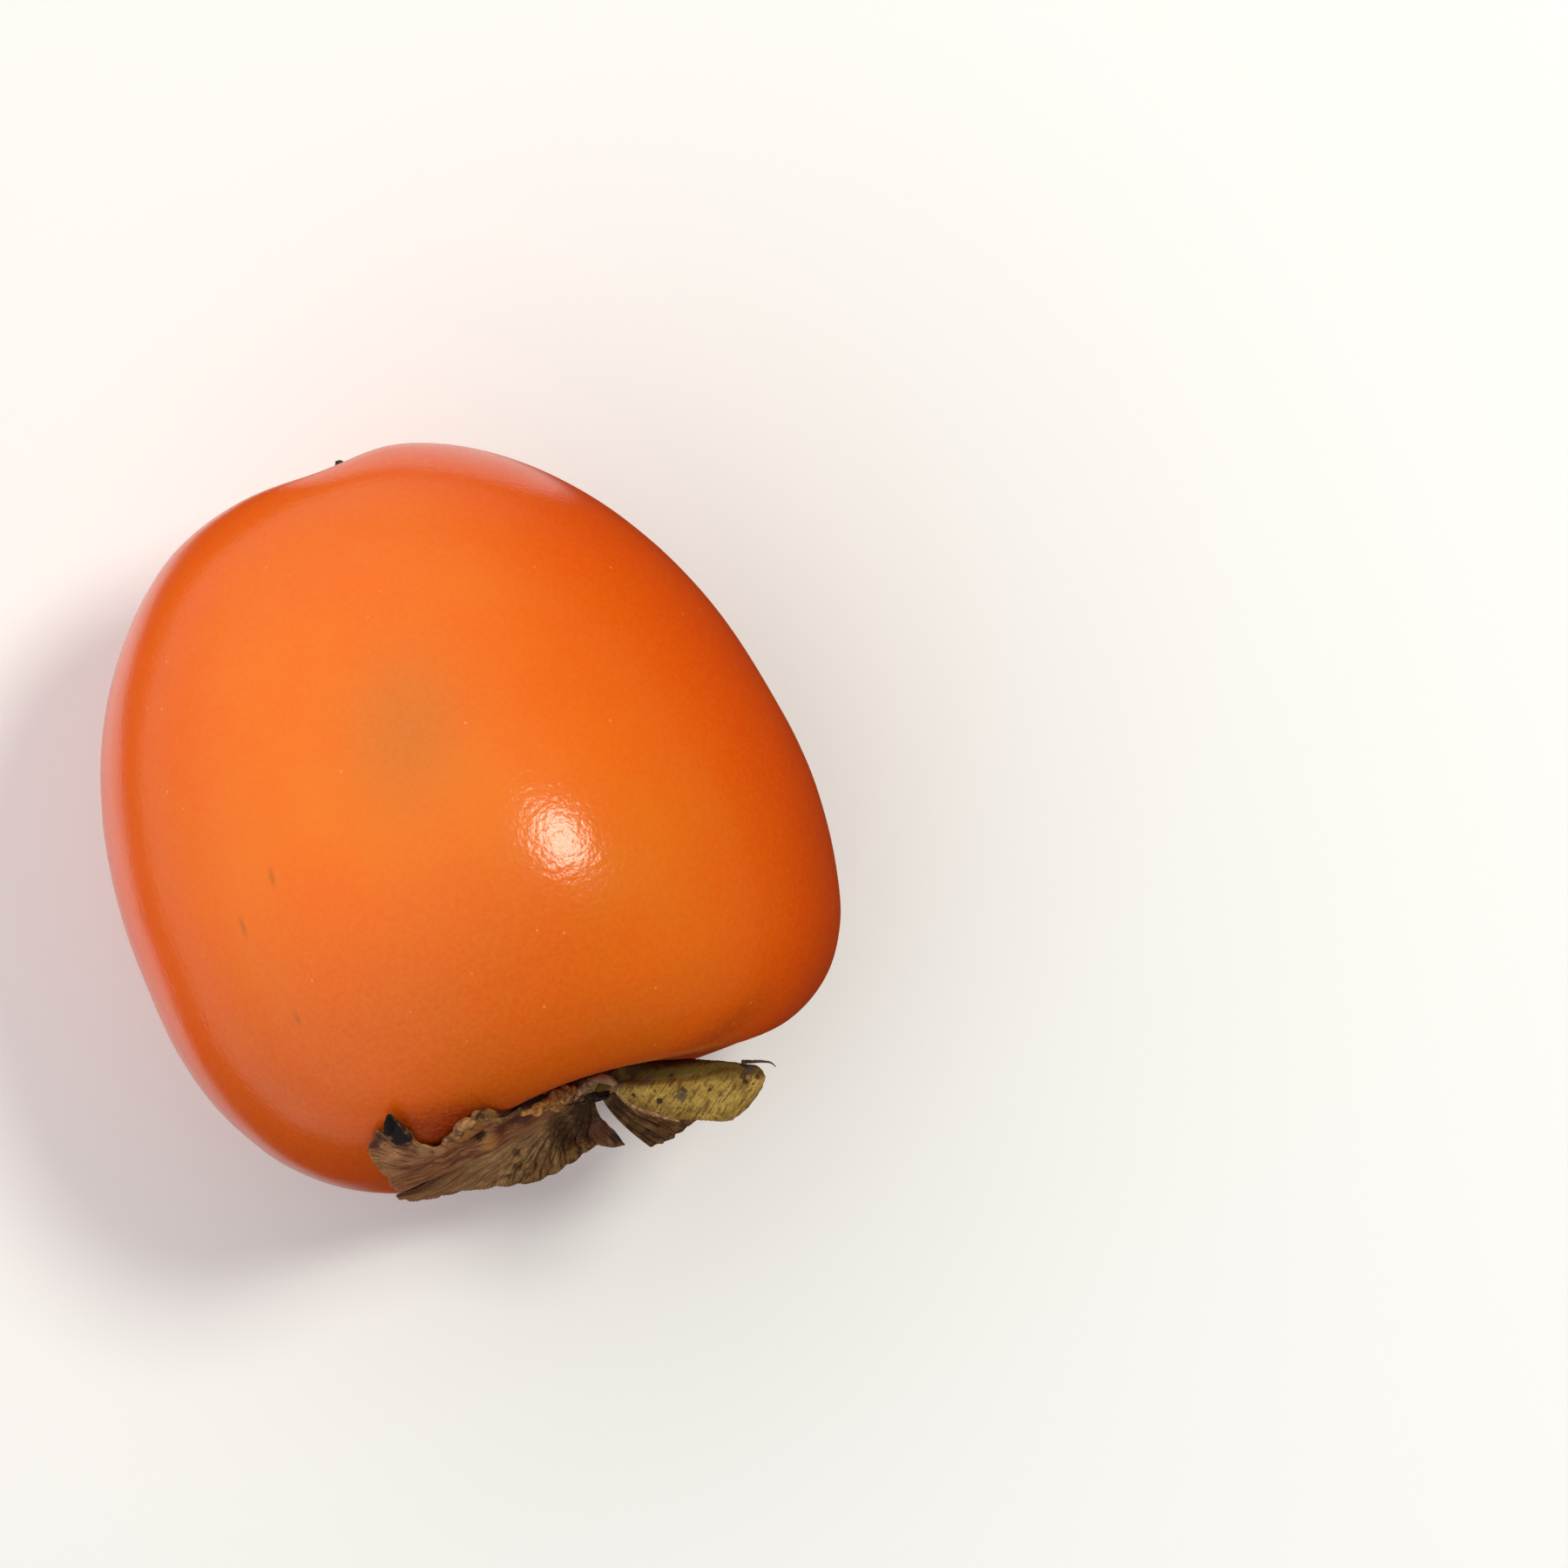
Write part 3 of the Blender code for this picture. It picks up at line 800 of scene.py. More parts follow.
# %% The fans of rays, in millimetres of the calyx's frame
# Each ray is the heading of its foot in degrees, its middle and its end: to the right, up and outwards.
FOOT_RADIUS = 4.3
FOOT_HEIGHT = -0.9
SEPAL_RAYS = {
    "sepal_near_left": (
        (180, (-12.6, -2.0, 1.9), (-23.8, -4.0, 3.4)),
        (166, (-13.2, 1.6, 1.8), (-23.9, 3.0, 3.3)),
        (155, (-13.9, 4.8, 1.6), (-23.8, 9.0, 2.8)),
        (148, (-14.7, 7.2, 1.3), (-24.2, 13.6, 2.1)),
        (142, (-15.4, 9.6, 1.0), (-24.4, 18.2, 1.2)),
        (138, (-15.9, 11.6, 0.8), (-24.3, 21.6, -0.4)),
        (135.5, (-15.9, 12.8, 0.7), (-23.1, 23.7, -1.2)),
        (134, (-15.8, 13.3, 0.6), (-22.5, 23.4, -0.7)),
        (132.5, (-15.7, 13.7, 0.5), (-22.1, 25.5, -1.4)),
        (131, (-15.4, 13.9, 0.4), (-21.3, 27.2, -2.2)),
        (129.5, (-14.9, 13.9, 0.4), (-20.4, 25.4, -0.6)),
        (128, (-14.3, 13.6, 0.5), (-19.8, 22.4, 0.7)),
        (126, (-13.4, 13.1, 0.6), (-18.8, 20.9, 1.25)),
        (124, (-12.4, 12.8, 0.6), (-17.6, 20.2, 1.7)),
        (121, (-11.3, 13.1, 0.4), (-16.3, 22.4, 1.4)),
        (117.5, (-9.9, 13.8, 0.2), (-15.0, 24.7, 0.9)),
        (113.5, (-8.4, 14.4, -0.1), (-13.4, 25.9, 0.3)),
        (109, (-6.6, 14.8, -1.25), (-11.6, 26.1, -0.15)),
    ),
    "sepal_near_right": (
        (6, (8.6, 1.2, 1.4), (16.5, 2.0, 3.0)),
        (24, (7.4, 3.4, 2.8), (15.0, 6.0, 4.8)),
        (42, (5.6, 4.8, 3.2), (13.6, 8.8, 6.2)),
        (57, (5.6, 7.0, 3.2), (15.9, 10.5, 5.3)),
        (67, (6.8, 9.2, 2.0), (17.6, 12.2, 3.9)),
        (75, (6.8, 10.2, 0.6), (18.0, 12.6, 2.9)),
        (79, (6.6, 10.3, -0.4), (17.3, 12.8, 1.3)),
        (83, (6.2, 10.0, -1.2), (15.6, 12.2, 0.05)),
        (87, (5.4, 9.3, -1.9), (13.0, 10.4, -1.05)),
        (90, (4.4, 8.6, -2.6), (10.1, 7.6, -2.4)),
    ),
    "sepal_far_left": (
        (-173, (-11.3, -2.5, 0.9), (-23.9, -5.6, 3.45)),
        (-165, (-11.4, -5.0, 1.4), (-24.2, -11.6, 4.0)),
        (-156, (-10.8, -7.4, 1.8), (-20.9, -15.6, 4.3)),
        (-147, (-9.6, -9.0, 2.1), (-15.8, -18.2, 4.3)),
        (-137, (-8.0, -9.8, 2.3), (-11.9, -19.3, 4.8)),
        (-125, (-5.8, -10.0, 2.5), (-7.6, -19.0, 4.9)),
        (-114, (-3.8, -9.4, 2.5), (-4.5, -17.0, 4.1)),
        (-104, (-2.0, -8.4, 2.0), (-1.4, -14.6, 3.5)),
        (-95, (-0.2, -7.0, 1.6), (1.4, -12.6, 4.2)),
    ),
    "sepal_far_right": (
        (-85, (1.4, -7.0, 1.8), (3.9, -16.0, 4.9)),
        (-68, (3.2, -8.8, 2.2), (6.4, -18.0, 4.6)),
        (-50, (5.8, -8.8, 1.8), (10.0, -17.5, 3.2)),
        (-32, (8.2, -6.8, 1.0), (15.8, -12.5, 1.4)),
        (-14, (8.8, -2.4, 1.0), (17.5, -4.5, 2.2)),
    ),
}

# %% [markdown]
# The drying has a few named amounts per sepal. Pleats are the large folds between the main veins and veins
# are the fine ribs, which are counted across the fan or, with a slant, run side by side at a spacing. Crumple
# is uneven, a curl lifts the margin away from the fruit over a part of the fan, and a fold drops all that
# lies past it. Dents are single bumps and hollows, given by where they show from above: to the right,
# outwards, their size and their height. All amounts are in millimetres, and places across the fan run from 0
# at its first ray to 1 at its last. Three more amounts are shares: the folds come in over a steady share of
# the fan, the margin is ragged by a share of each ray, and dents and spots are drawn out upwards by a depth.

# %% How each sepal dried
DRYING = {
    "sepal_near_left": {
        "seed": 3.1, "steady": 0.12, "depth": 3.0, "pleats": 6, "pleat": 0.16, "veins": 52, "vein": 0.035,
        "crumple": 0.2, "ragged": 0.012, "curls": ((0.84, 1.0, 1.6, 0.6),),
        "dents": (
            (-19.7, 0.5, 0.6, 0.6), (-18.0, 1.0, 0.6, 0.6), (-16.7, 0.9, 0.55, 0.55), (-15.4, 0.7, 0.5, 0.5),
            (-13.3, 0.3, 0.65, -1.0), (-12.3, 1.5, 0.8, 0.5), (-14.8, 1.8, 0.6, -0.4),
            (-16.4, 2.2, 0.7, -0.4), (-10.6, 0.6, 0.7, -0.4), (-21.6, 1.0, 0.8, -0.5),
        ),
    },
    "sepal_near_right": {
        "seed": 11.7, "steady": 0.02, "depth": 1.5, "pleats": 0, "pleat": 0.0, "slant": (0.644, 0.763, 0.43),
        "vein": 0.045, "crumple": 0.16, "ragged": 0.01, "curls": ((0.45, 0.66, 1.0, -0.3),),
        "fold": (0.83, 0.02, 0.8),
        "dents": ((16.8, 0.6, 0.8, -0.7), (9.2, 2.1, 0.35, -0.25), (2.8, -1.5, 0.5, -0.35)),
    },
    "sepal_far_left": {
        "seed": 23.4, "steady": 0.04, "depth": 3.0, "pleats": 11, "pleat": 0.3, "veins": 78, "vein": 0.06,
        "crumple": 0.15, "ragged": 0.014, "curls": ((0.9, 1.0, 1.4, 0.3),),
        "dents": ((-9.9, 3.2, 0.5, -0.3), (-10.2, 4.8, 0.5, -0.3)),
    },
    "sepal_far_right": {
        "seed": 31.9, "steady": 0.05, "depth": 2.0, "pleats": 8, "pleat": 0.2, "veins": 50, "vein": 0.04,
        "crumple": 0.16, "ragged": 0.02, "curls": (), "dents": (),
    },
}

# %% [markdown]
# A few tools with grids of points: a smooth curve through given points, a noise, a smooth step, and the
# normals of a grid. No piece of the calyx may dip into the fruit, so one more tool moves points out of it.

# %% Curves, lumps and steps
NOISE_GAIN = 1.6


def spline(values, shares):
    """Points at these shares of the way along a smooth curve through evenly spaced points."""
    values = np.array(values, float)
    row = np.concatenate([2 * values[:1] - values[1:2], values, 2 * values[-1:] - values[-2:-1]])
    place = np.clip(shares, 0.0, 1.0) * (len(values) - 1)
    i = np.minimum(place.astype(int), len(values) - 2)
    f = (place - i)[:, None]
    a, b, c, d = row[i], row[i + 1], row[i + 2], row[i + 3]
    return 0.5 * (2 * b + (c - a) * f + (2 * a - 5 * b + 4 * c - d) * f**2 + (3 * b - a - 3 * c + d) * f**3)


def lumps(points, size, seed):
    """A smooth noise of about -1 to 1 at each point, with bumps of about this size."""
    rows = (points / size + seed).reshape(-1, 3)
    values = np.array([noise.noise(Vector(row)) for row in rows.tolist()])
    return values.reshape(points.shape[:-1]) * NOISE_GAIN


def smooth_step(low, high, value):
    """0 below low, 1 above high, with a smooth step between them."""
    share = np.clip((value - low) / (high - low), 0.0, 1.0)
    return share * share * (3 - 2 * share)


# %% Normals, the skin's clearance and places seen from above
SKIN_CLEARANCE = 0.15
SEEN_WITHIN = 0.25
ALMOST_NOTHING = 1e-9

fine_skin = tree_of(fruit)


def normals_of(points):
    """The normal at each point of a grid of points, pointing away from the fruit."""
    across = np.gradient(points, axis=0)
    along = np.gradient(points, axis=1)
    normal = np.cross(across, along)
    normal /= np.linalg.norm(normal, axis=-1, keepdims=True) + ALMOST_NOTHING
    return normal if normal[..., 2].mean() > 0 else -normal


def from_above(sheet, right, outwards):
    """The place of a sheet's outer face that shows from above at this point of the calyx's level plane."""
    flat = sheet.reshape(-1, 3)
    eye = np.array(to_calyx @ camera.location) / MM
    seen = eye + (flat - eye) * (eye[1] / (eye[1] - flat[:, 1]))[:, None]
    away = np.hypot(seen[:, 0] - right, seen[:, 2] - outwards)
    near = np.flatnonzero(away < away.min() + SEEN_WITHIN)
    best = near[np.argmax(flat[near, 1])]
    return tuple(float(value) for value in flat[best])


def held_off(points, clearance):
    """Moves each point of the calyx's frame out of the skin, to at least this clearance from it."""
    flat = points.reshape(-1, 3)
    for i, row in enumerate(flat.tolist()):
        place = calyx_place @ (Vector(row) * MM)
        near, normal, _, _ = fine_skin.find_nearest(place)
        depth = (place - near).dot(normal)
        if depth < clearance * MM:
            flat[i] = (to_calyx @ (near + normal * clearance * MM)) / MM
    return flat.reshape(points.shape)


# %% [markdown]
# The fresh leaf comes first, as a grid of points: each ray is a curve from its foot through its middle to its
# end, and the rays between the given ones follow smoothly.

# %% The fresh leaf
SHEET_ACROSS = 260
SHEET_ALONG = 130
MARGIN_LENGTH = 24
NOTCHES = 2.2
TEETH = 0.9


def fresh_leaf(rays, dry):
    """The grid of points, each ray's length, and each point's share of the way across and along."""
    across = np.linspace(0.0, 1.0, SHEET_ACROSS)
    along = np.linspace(0.0, 1.0, SHEET_ALONG)
    turns = np.radians([ray[0] for ray in rays])
    feet = [(FOOT_RADIUS * math.cos(turn), FOOT_RADIUS * math.sin(turn), FOOT_HEIGHT) for turn in turns]
    foot = spline(feet, across)[:, None]
    middle = spline([ray[1] for ray in rays], across)[:, None]
    end = spline([ray[2] for ray in rays], across)[:, None]
    margin = np.stack([across * MARGIN_LENGTH, across * 0, across * 0], axis=-1)
    ragged = lumps(margin, NOTCHES, dry["seed"]) + 0.5 * lumps(margin, TEETH, dry["seed"] + 5)
    t = along[None] * (1 + dry["ragged"] * ragged[:, None] * along[None] ** 2)
    t = t[..., None]
    points = foot * (2 * (t - 0.5) * (t - 1)) + middle * (4 * t * (1 - t)) + end * (2 * t * (t - 0.5))
    heading = spline([[ray[0]] for ray in rays], across)[:, 0]
    share = (heading - heading[0]) / (heading[-1] - heading[0])
    a = share[:, None] * np.ones_like(along[None])
    s = along[None] * np.ones_like(across[:, None])
    return points, np.linalg.norm(end - foot, axis=-1), a, s


# %% [markdown]
# Folds come next. Each kind is a wave across or along the leaf that fades out towards the foot, where the
# leaf is thick. A little noise in the wave's own place keeps the folds from looking combed.

# %% Pleats, veins and crumple
WARP = (6.0, 0.05)
VEIN_PATCHES = 2.5
CREASES = (3.4, 1.4)


def folds(points, a, s, wide, length, dry):
    """How far each point moves, how deep it lies in a groove, and its place across and along the veins."""
    seed = dry["seed"]
    warp = lumps(points, WARP[0], seed + 9) * WARP[1]
    valley = np.cos(2 * math.pi * dry["pleats"] * (a + warp) + seed)
    pleat = 0.3 * valley - ((1 - valley) / 2) ** 5
    pleat = pleat * smooth_step(0.05, 0.5, s) * (1 - 0.6 * smooth_step(0.75, 1.0, s))
    if "slant" in dry:
        right_share, out_share, spacing = dry["slant"]
        tilted = points[..., 2] * math.cos(TIP_DIP) - points[..., 1] * math.sin(TIP_DIP)
        side = points[..., 0] * right_share + tilted * out_share + 2.5 * warp
        lengthwise = points[..., 0] * out_share - tilted * right_share
        vein = np.cos(2 * math.pi * side / spacing)
    else:
        side, lengthwise = a * wide.mean(), s * length
        vein = np.cos(2 * math.pi * dry["veins"] * (a + warp * 0.35))
    vein = vein * smooth_step(0.15, 0.6, s) * (0.6 + 0.4 * lumps(points, VEIN_PATCHES, seed + 2))
    crumple = lumps(points, CREASES[0], seed + 14) + 0.4 * lumps(points, CREASES[1], seed + 17)
    move = dry["pleat"] * pleat + dry["vein"] * vein + dry["crumple"] * (crumple * smooth_step(0.0, 0.5, s))
    return move * smooth_step(0.0, dry["steady"], a), pleat * 0.6 + vein * 0.5, side, lengthwise


# %% [markdown]
# Then the moves that belong to one place: the curled margins, the fold and the dents.

# %% Curls, folds and dents
CURL_BLEND = 0.06
CURL_WAVES = 2.6
FOLD_WAVES = 4.0


def bent(move, points, a, s, from_margin, dry):
    """The moves with those of single places added."""
    seed = dry["seed"]
    for start, stop, width, height in dry["curls"]:
        span = smooth_step(start - CURL_BLEND, start + CURL_BLEND, a)
        span = span * (1 - smooth_step(stop - CURL_BLEND, stop + CURL_BLEND, a))
        wavy = 1 + 0.45 * lumps(points * (1, 1, 0), CURL_WAVES, seed + 21)
        move = move + span * height * wavy * np.clip(1 - from_margin / width, 0.0, 1.0) ** 2
    if "fold" in dry:
        where, width, drop = dry["fold"]
        line = where + 0.02 * lumps(points * (1, 0, 0), FOLD_WAVES, seed + 30)
        move = move - drop * smooth_step(0.0, 1.0, (a - line) / width) * smooth_step(0.05, 0.3, s)
    for right, outwards, size, height in dry["dents"]:
        seen = np.array(from_above(points, right, outwards))
        reach = np.linalg.norm((points - seen) / (1, dry["depth"], 1), axis=-1) / size
        move = move + height * np.exp(-0.5 * reach**2)
    return move


# %% [markdown]
# The dried sheet has two faces, which are the grid moved half the leaf's thickness each way. The leaf thins
# from its foot outwards, and once more at its rim. Each point also keeps where it is on the leaf, so that the
# finish can follow the veins: across and along in millimetres, the distance from the margin, and how deep it
# lies in a groove.

# %% The dried sheet
LEAF_AT_FOOT = 0.42
LEAF_AT_MARGIN = 0.16
THIN_FROM = 0.6
RIM_WIDTH = 0.4
RIM_SHARE = 0.55


def sepal_sheet(name):
    """The sheet's two faces, where each point is on the leaf, its relief, and its place in the fan."""
    dry = DRYING[name]
    points, length, a, s = fresh_leaf(SEPAL_RAYS[name], dry)
    wide = np.linalg.norm(np.diff(points, axis=0), axis=-1).sum(0)[None] * np.ones_like(length)
    from_margin = (1 - s) * length
    from_side = np.minimum(a, 1 - a) * wide
    move, relief, side, lengthwise = folds(points, a, s, wide, length, dry)
    move = bent(move, points, a, s, from_margin, dry)
    points = points + normals_of(points) * move[..., None]
    points = held_off(points, SKIN_CLEARANCE + LEAF_AT_FOOT / 2)

    thick = LEAF_AT_MARGIN + (LEAF_AT_FOOT - LEAF_AT_MARGIN) * (1 - smooth_step(0.0, THIN_FROM, s))
    rim = smooth_step(0.0, RIM_WIDTH, np.minimum(from_margin, from_side))
    thick = thick * (RIM_SHARE + (1 - RIM_SHARE) * rim)
    half = normals_of(points) * (thick / 2)[..., None]
    leaf = np.stack([side, lengthwise, from_margin], axis=-1)
    return points + half, points - half, leaf, relief, a


# %% [markdown]
# Two grids and a strip round their border make one closed sheet. Each grid's faces are numbered column by
# column, and one grid's are turned round, so that all of them point outwards.

# %% Closed pieces from points and faces
def closed_piece(name, place, points, faces, finish):
    """A smooth piece from points in millimetres of the frame that lies at this place, and its faces."""
    matrix = np.array(place)
    points = (points * MM) @ matrix[:3, :3].T + matrix[:3, 3]
    mesh = bpy.data.meshes.new(name)
    mesh.from_pydata(points.tolist(), [], faces)
    mesh.polygons.foreach_set("use_smooth", [True] * len(mesh.polygons))
    mesh.materials.append(finish)
    mesh.update()
    return new_object(name, mesh)


def grid_faces(columns, rows, first, flip):
    """Quads over a grid of points numbered column by column from first."""
    i, j = np.meshgrid(np.arange(columns - 1), np.arange(rows - 1), indexing="ij")
    start = (first + i * rows + j).ravel()
    quads = np.stack([start, start + rows, start + rows + 1, start + 1], axis=1)
    return quads[:, ::-1] if flip else quads


def border_of(columns, rows):
    """The numbers of a grid's border points, in order round it."""
    numbers = np.arange(columns * rows).reshape(columns, rows)
    return np.concatenate([numbers[:-1, 0], numbers[-1, :-1], numbers[:0:-1, -1], numbers[0, :0:-1]])


# %% Make a sepal's closed sheet
def leaf_object(name, outer, inner, leaf, relief, fan, finish):
    """A closed sheet from its two faces, with what each point keeps as attributes."""
    columns, rows = leaf.shape[:2]
    count = columns * rows
    over = outer[-1, rows // 2] - outer[0, rows // 2]
    flip = np.cross(over, outer[columns // 2, -1] - outer[columns // 2, 0])[2] < 0
    ring = border_of(columns, rows)
    after = np.roll(ring, -1)
    strip = np.stack([ring, ring + count, after + count, after], axis=1)
    strip = strip[:, ::-1] if flip else strip
    sheets = [grid_faces(columns, rows, 0, flip), grid_faces(columns, rows, count, not flip)]
    faces = np.concatenate([*sheets, strip]).tolist()
    points = np.concatenate([outer.reshape(-1, 3), inner.reshape(-1, 3)])
    obj = closed_piece(name, calyx_place, points, faces, finish)
    both_sides = {
        "inner": np.repeat([0.0, 1.0], count),
        "relief": np.tile(relief.ravel(), 2),
        "fan": np.tile(fan.ravel(), 2),
    }
    for kept, values in both_sides.items():
        obj.data.attributes.new(kept, "FLOAT", "POINT").data.foreach_set("value", values)
    places = obj.data.attributes.new("leaf", "FLOAT_VECTOR", "POINT")
    places.data.foreach_set("vector", np.tile(leaf.ravel(), 2))
    return obj


# %% [markdown]
# ## Dried leaf
# The leaf has lost its green and is left with browns and olives that follow the veins. Grooves are darker,
# ribs are rubbed pale, and the margin is darker and brittle. The face that lay on the fruit is lighter. Each
# sepal gives the same finish its own tones and its own spots. Some bands and spots are painted shade, and
# one band a painted highlight, where the sepals overlap, fold or hollow.

# %% Streaks along the veins
def make_streaks():
    """Thin streaks that run along the leaf, from its across and along millimetres."""
    inputs = {"Vector": NOWHERE, "Spacing": 0.6, "Length": 8.0, "Low": 0.45, "High": 0.6}
    wires, mask = new_shader_group("leaf streaks", inputs)
    across, along, _ = parts_of(wires["Vector"])
    lines = cloud(vector_of(across / wires["Spacing"], along / wires["Length"], 0.0), 1.0, 3.0, 0.6)
    plug(lines.ease(wires["Low"], wires["High"]), mask)
    return mask.id_data


STREAKS = make_streaks()


def moved(vector, right=0.0, up=0.0):
    """The same places moved far off, for a second pattern that doesn't follow the first."""
    return vector_math("ADD", vector, (right, up, 0.0))


def attribute(tree, name, output="Fac"):
    return out(put(tree, "ShaderNodeAttribute", attribute_name=name, attribute_type="GEOMETRY"), output)


# %% The leaf's broad colour
def leaf_colour(spot, leaf, clouds, hatch, tones):
    """The body tone under clouds, streaks, darker grooves, grain and a dry margin, in this order."""
    rim = parts_of(leaf)[2]
    groove = (attribute(spot.tree, "relief") * -1).ease(0.15, 0.8)
    shade = effect(BLOTCHES, moved(spot, right=40.0), size=2.2, low=0.48, high=0.68)
    lines = effect(STREAKS, leaf, spacing=0.3, length=hatch, low=0.48, high=0.62)
    light_lines = effect(STREAKS, moved(leaf, right=90.0), spacing=0.3, length=3.5, low=0.55, high=0.7)
    grain = effect(BLOTCHES, spot, size=0.28, low=0.4, high=0.7)
    layers = (
        (clouds, 0.7, "pale"), (attribute(spot.tree, "inner"), 0.8, "inner"), (shade, 0.6, "dark"),
        (lines, 0.75, "dark"), (light_lines, 0.6, "pale"), (groove, 0.55, "dark"), (grain, 0.3, "dark"),
        (1 - rim.ease(0.1, 0.7), 0.6, "margin"),
    )
    base = tones["body"]
    for mask, strength, tone in layers:
        base = blend(mask * strength, base, tones[tone])
    return base


# %% The leaf's specks, bands and spots
UMBER = colour(0.045, 0.022, 0.010)
BAND_EDGE = 0.02


def speckled(base, spot, strength):
    """Small dark specks in some patches of the leaf."""
    cells = put(spot.tree, "ShaderNodeTexVoronoi", {"Vector": spot, "Scale": 0.8, "Randomness": 1.0})
    here = effect(BLOTCHES, moved(spot, up=70.0), size=2.5, low=0.45, high=0.6)
    speck = (1 - out(cells, "Distance").ease(0.10, 0.17)) * here
    return blend(speck * strength, base, UMBER)


def banded(base, tree, bands):
    """Bands across the fan, each from one place to another, with a strength and a colour."""
    fan = attribute(tree, "fan")
    for start, stop, strength, tone in bands:
        band = fan.ease(start - BAND_EDGE, start + BAND_EDGE)
        band = band * (1 - fan.ease(stop - BAND_EDGE, stop + BAND_EDGE))
        base = blend(band * strength, base, tone)
    return base


def spotted(base, spot, spots, depth):
    """Torn-edged spots, each with a place, radius, strength and colour, and drawn out by depth the way up."""
    torn = (cloud(spot, 1.5, 4.0, 0.75) - 0.5) * 1.5
    for place, radius, strength, tone in spots:
        mark = effect(MARK, spot, centre=place, along=(0.0, 1.0, 0.0), length=radius * depth, width=radius)
        base = blend((mark + torn).ease(0.25, 0.7) * strength, base, tone)
    return base


# %% The leaf's finish
RIB_DEPTH = 0.12


def leaf_finish(name, tones, bands, spots, depth, specks, hatch):
    """tones: body, pale, dark, inner and margin colours. hatch: how long the dark streaks are."""
    material, tree, shader = new_finish(name)
    spot = own_frame(tree, calyx_place)
    leaf = attribute(tree, "leaf", "Vector")
    clouds = effect(BLOTCHES, spot, size=3.0, low=0.35, high=0.65)
    base = speckled(leaf_colour(spot, leaf, clouds, hatch, tones), spot, specks)
    base = spotted(banded(base, tree, bands), spot, spots, depth)
    ribs = effect(STREAKS, leaf, spacing=0.3, length=6.0, low=0.3, high=0.7)
    fill(shader, {
        "Base Color": base,
        "Roughness": 0.62 + clouds * 0.12,
        "Specular IOR Level": 0.12,
        "Normal": bumped(ribs * 0.6 + cloud(spot, 3.0, 3.0, 0.6), RIB_DEPTH),
    })
    return material


# %% [markdown]
# Of the two sepals on the upper side, the left one dried to a light tan and the right one to an olive green.
# The two below are plainer browns. Each has five tones, and a few more tones serve the spots and bands.

# %% Leaf tones
BROWN = {
    "body": colour(0.30, 0.155, 0.055), "pale": colour(0.52, 0.33, 0.13), "dark": colour(0.045, 0.024, 0.012),
    "inner": colour(0.42, 0.22, 0.08), "margin": colour(0.18, 0.085, 0.035),
}
TAN = {
    "body": colour(0.46, 0.215, 0.095), "pale": colour(0.70, 0.38, 0.16), "dark": colour(0.11, 0.040, 0.026),
    "inner": colour(0.66, 0.32, 0.10), "margin": colour(0.44, 0.24, 0.10),
}
OLIVE = {
    "body": colour(0.42, 0.265, 0.050), "pale": colour(0.64, 0.43, 0.105), "dark": colour(0.11, 0.055, 0.014),
    "inner": colour(0.34, 0.24, 0.06), "margin": colour(0.32, 0.17, 0.055),
}
DARK_BROWN = {
    "body": colour(0.23, 0.125, 0.052), "pale": colour(0.42, 0.25, 0.10), "dark": colour(0.035, 0.02, 0.011),
    "inner": colour(0.26, 0.15, 0.06), "margin": colour(0.12, 0.06, 0.03),
}
CHAR = colour(0.022, 0.018, 0.019)
PLUM = colour(0.13, 0.048, 0.034)
CREAM = colour(0.74, 0.46, 0.20)
AMBER = colour(0.60, 0.29, 0.075)
# Painted shade for pockets and hollows in the olive sepal.
SLATE_SHADE = colour(0.085, 0.065, 0.06)
MOSS_AND_SHADE = colour(0.080, 0.052, 0.007)
ROSE = colour(0.50, 0.25, 0.15)
RIDGE_HIGHLIGHT = colour(0.66, 0.36, 0.24)
TAWNY = colour(0.70, 0.40, 0.19)
LEAF_TONES = {
    "sepal_near_left": TAN, "sepal_near_right": OLIVE, "sepal_far_left": BROWN, "sepal_far_right": DARK_BROWN
}

# %% [markdown]
# A spot is given by where it shows from above: to the right of the calyx's middle and outwards from the
# fruit. Its middle is then the point of the sheet that is seen there. A band is given by its place across
# the fan.

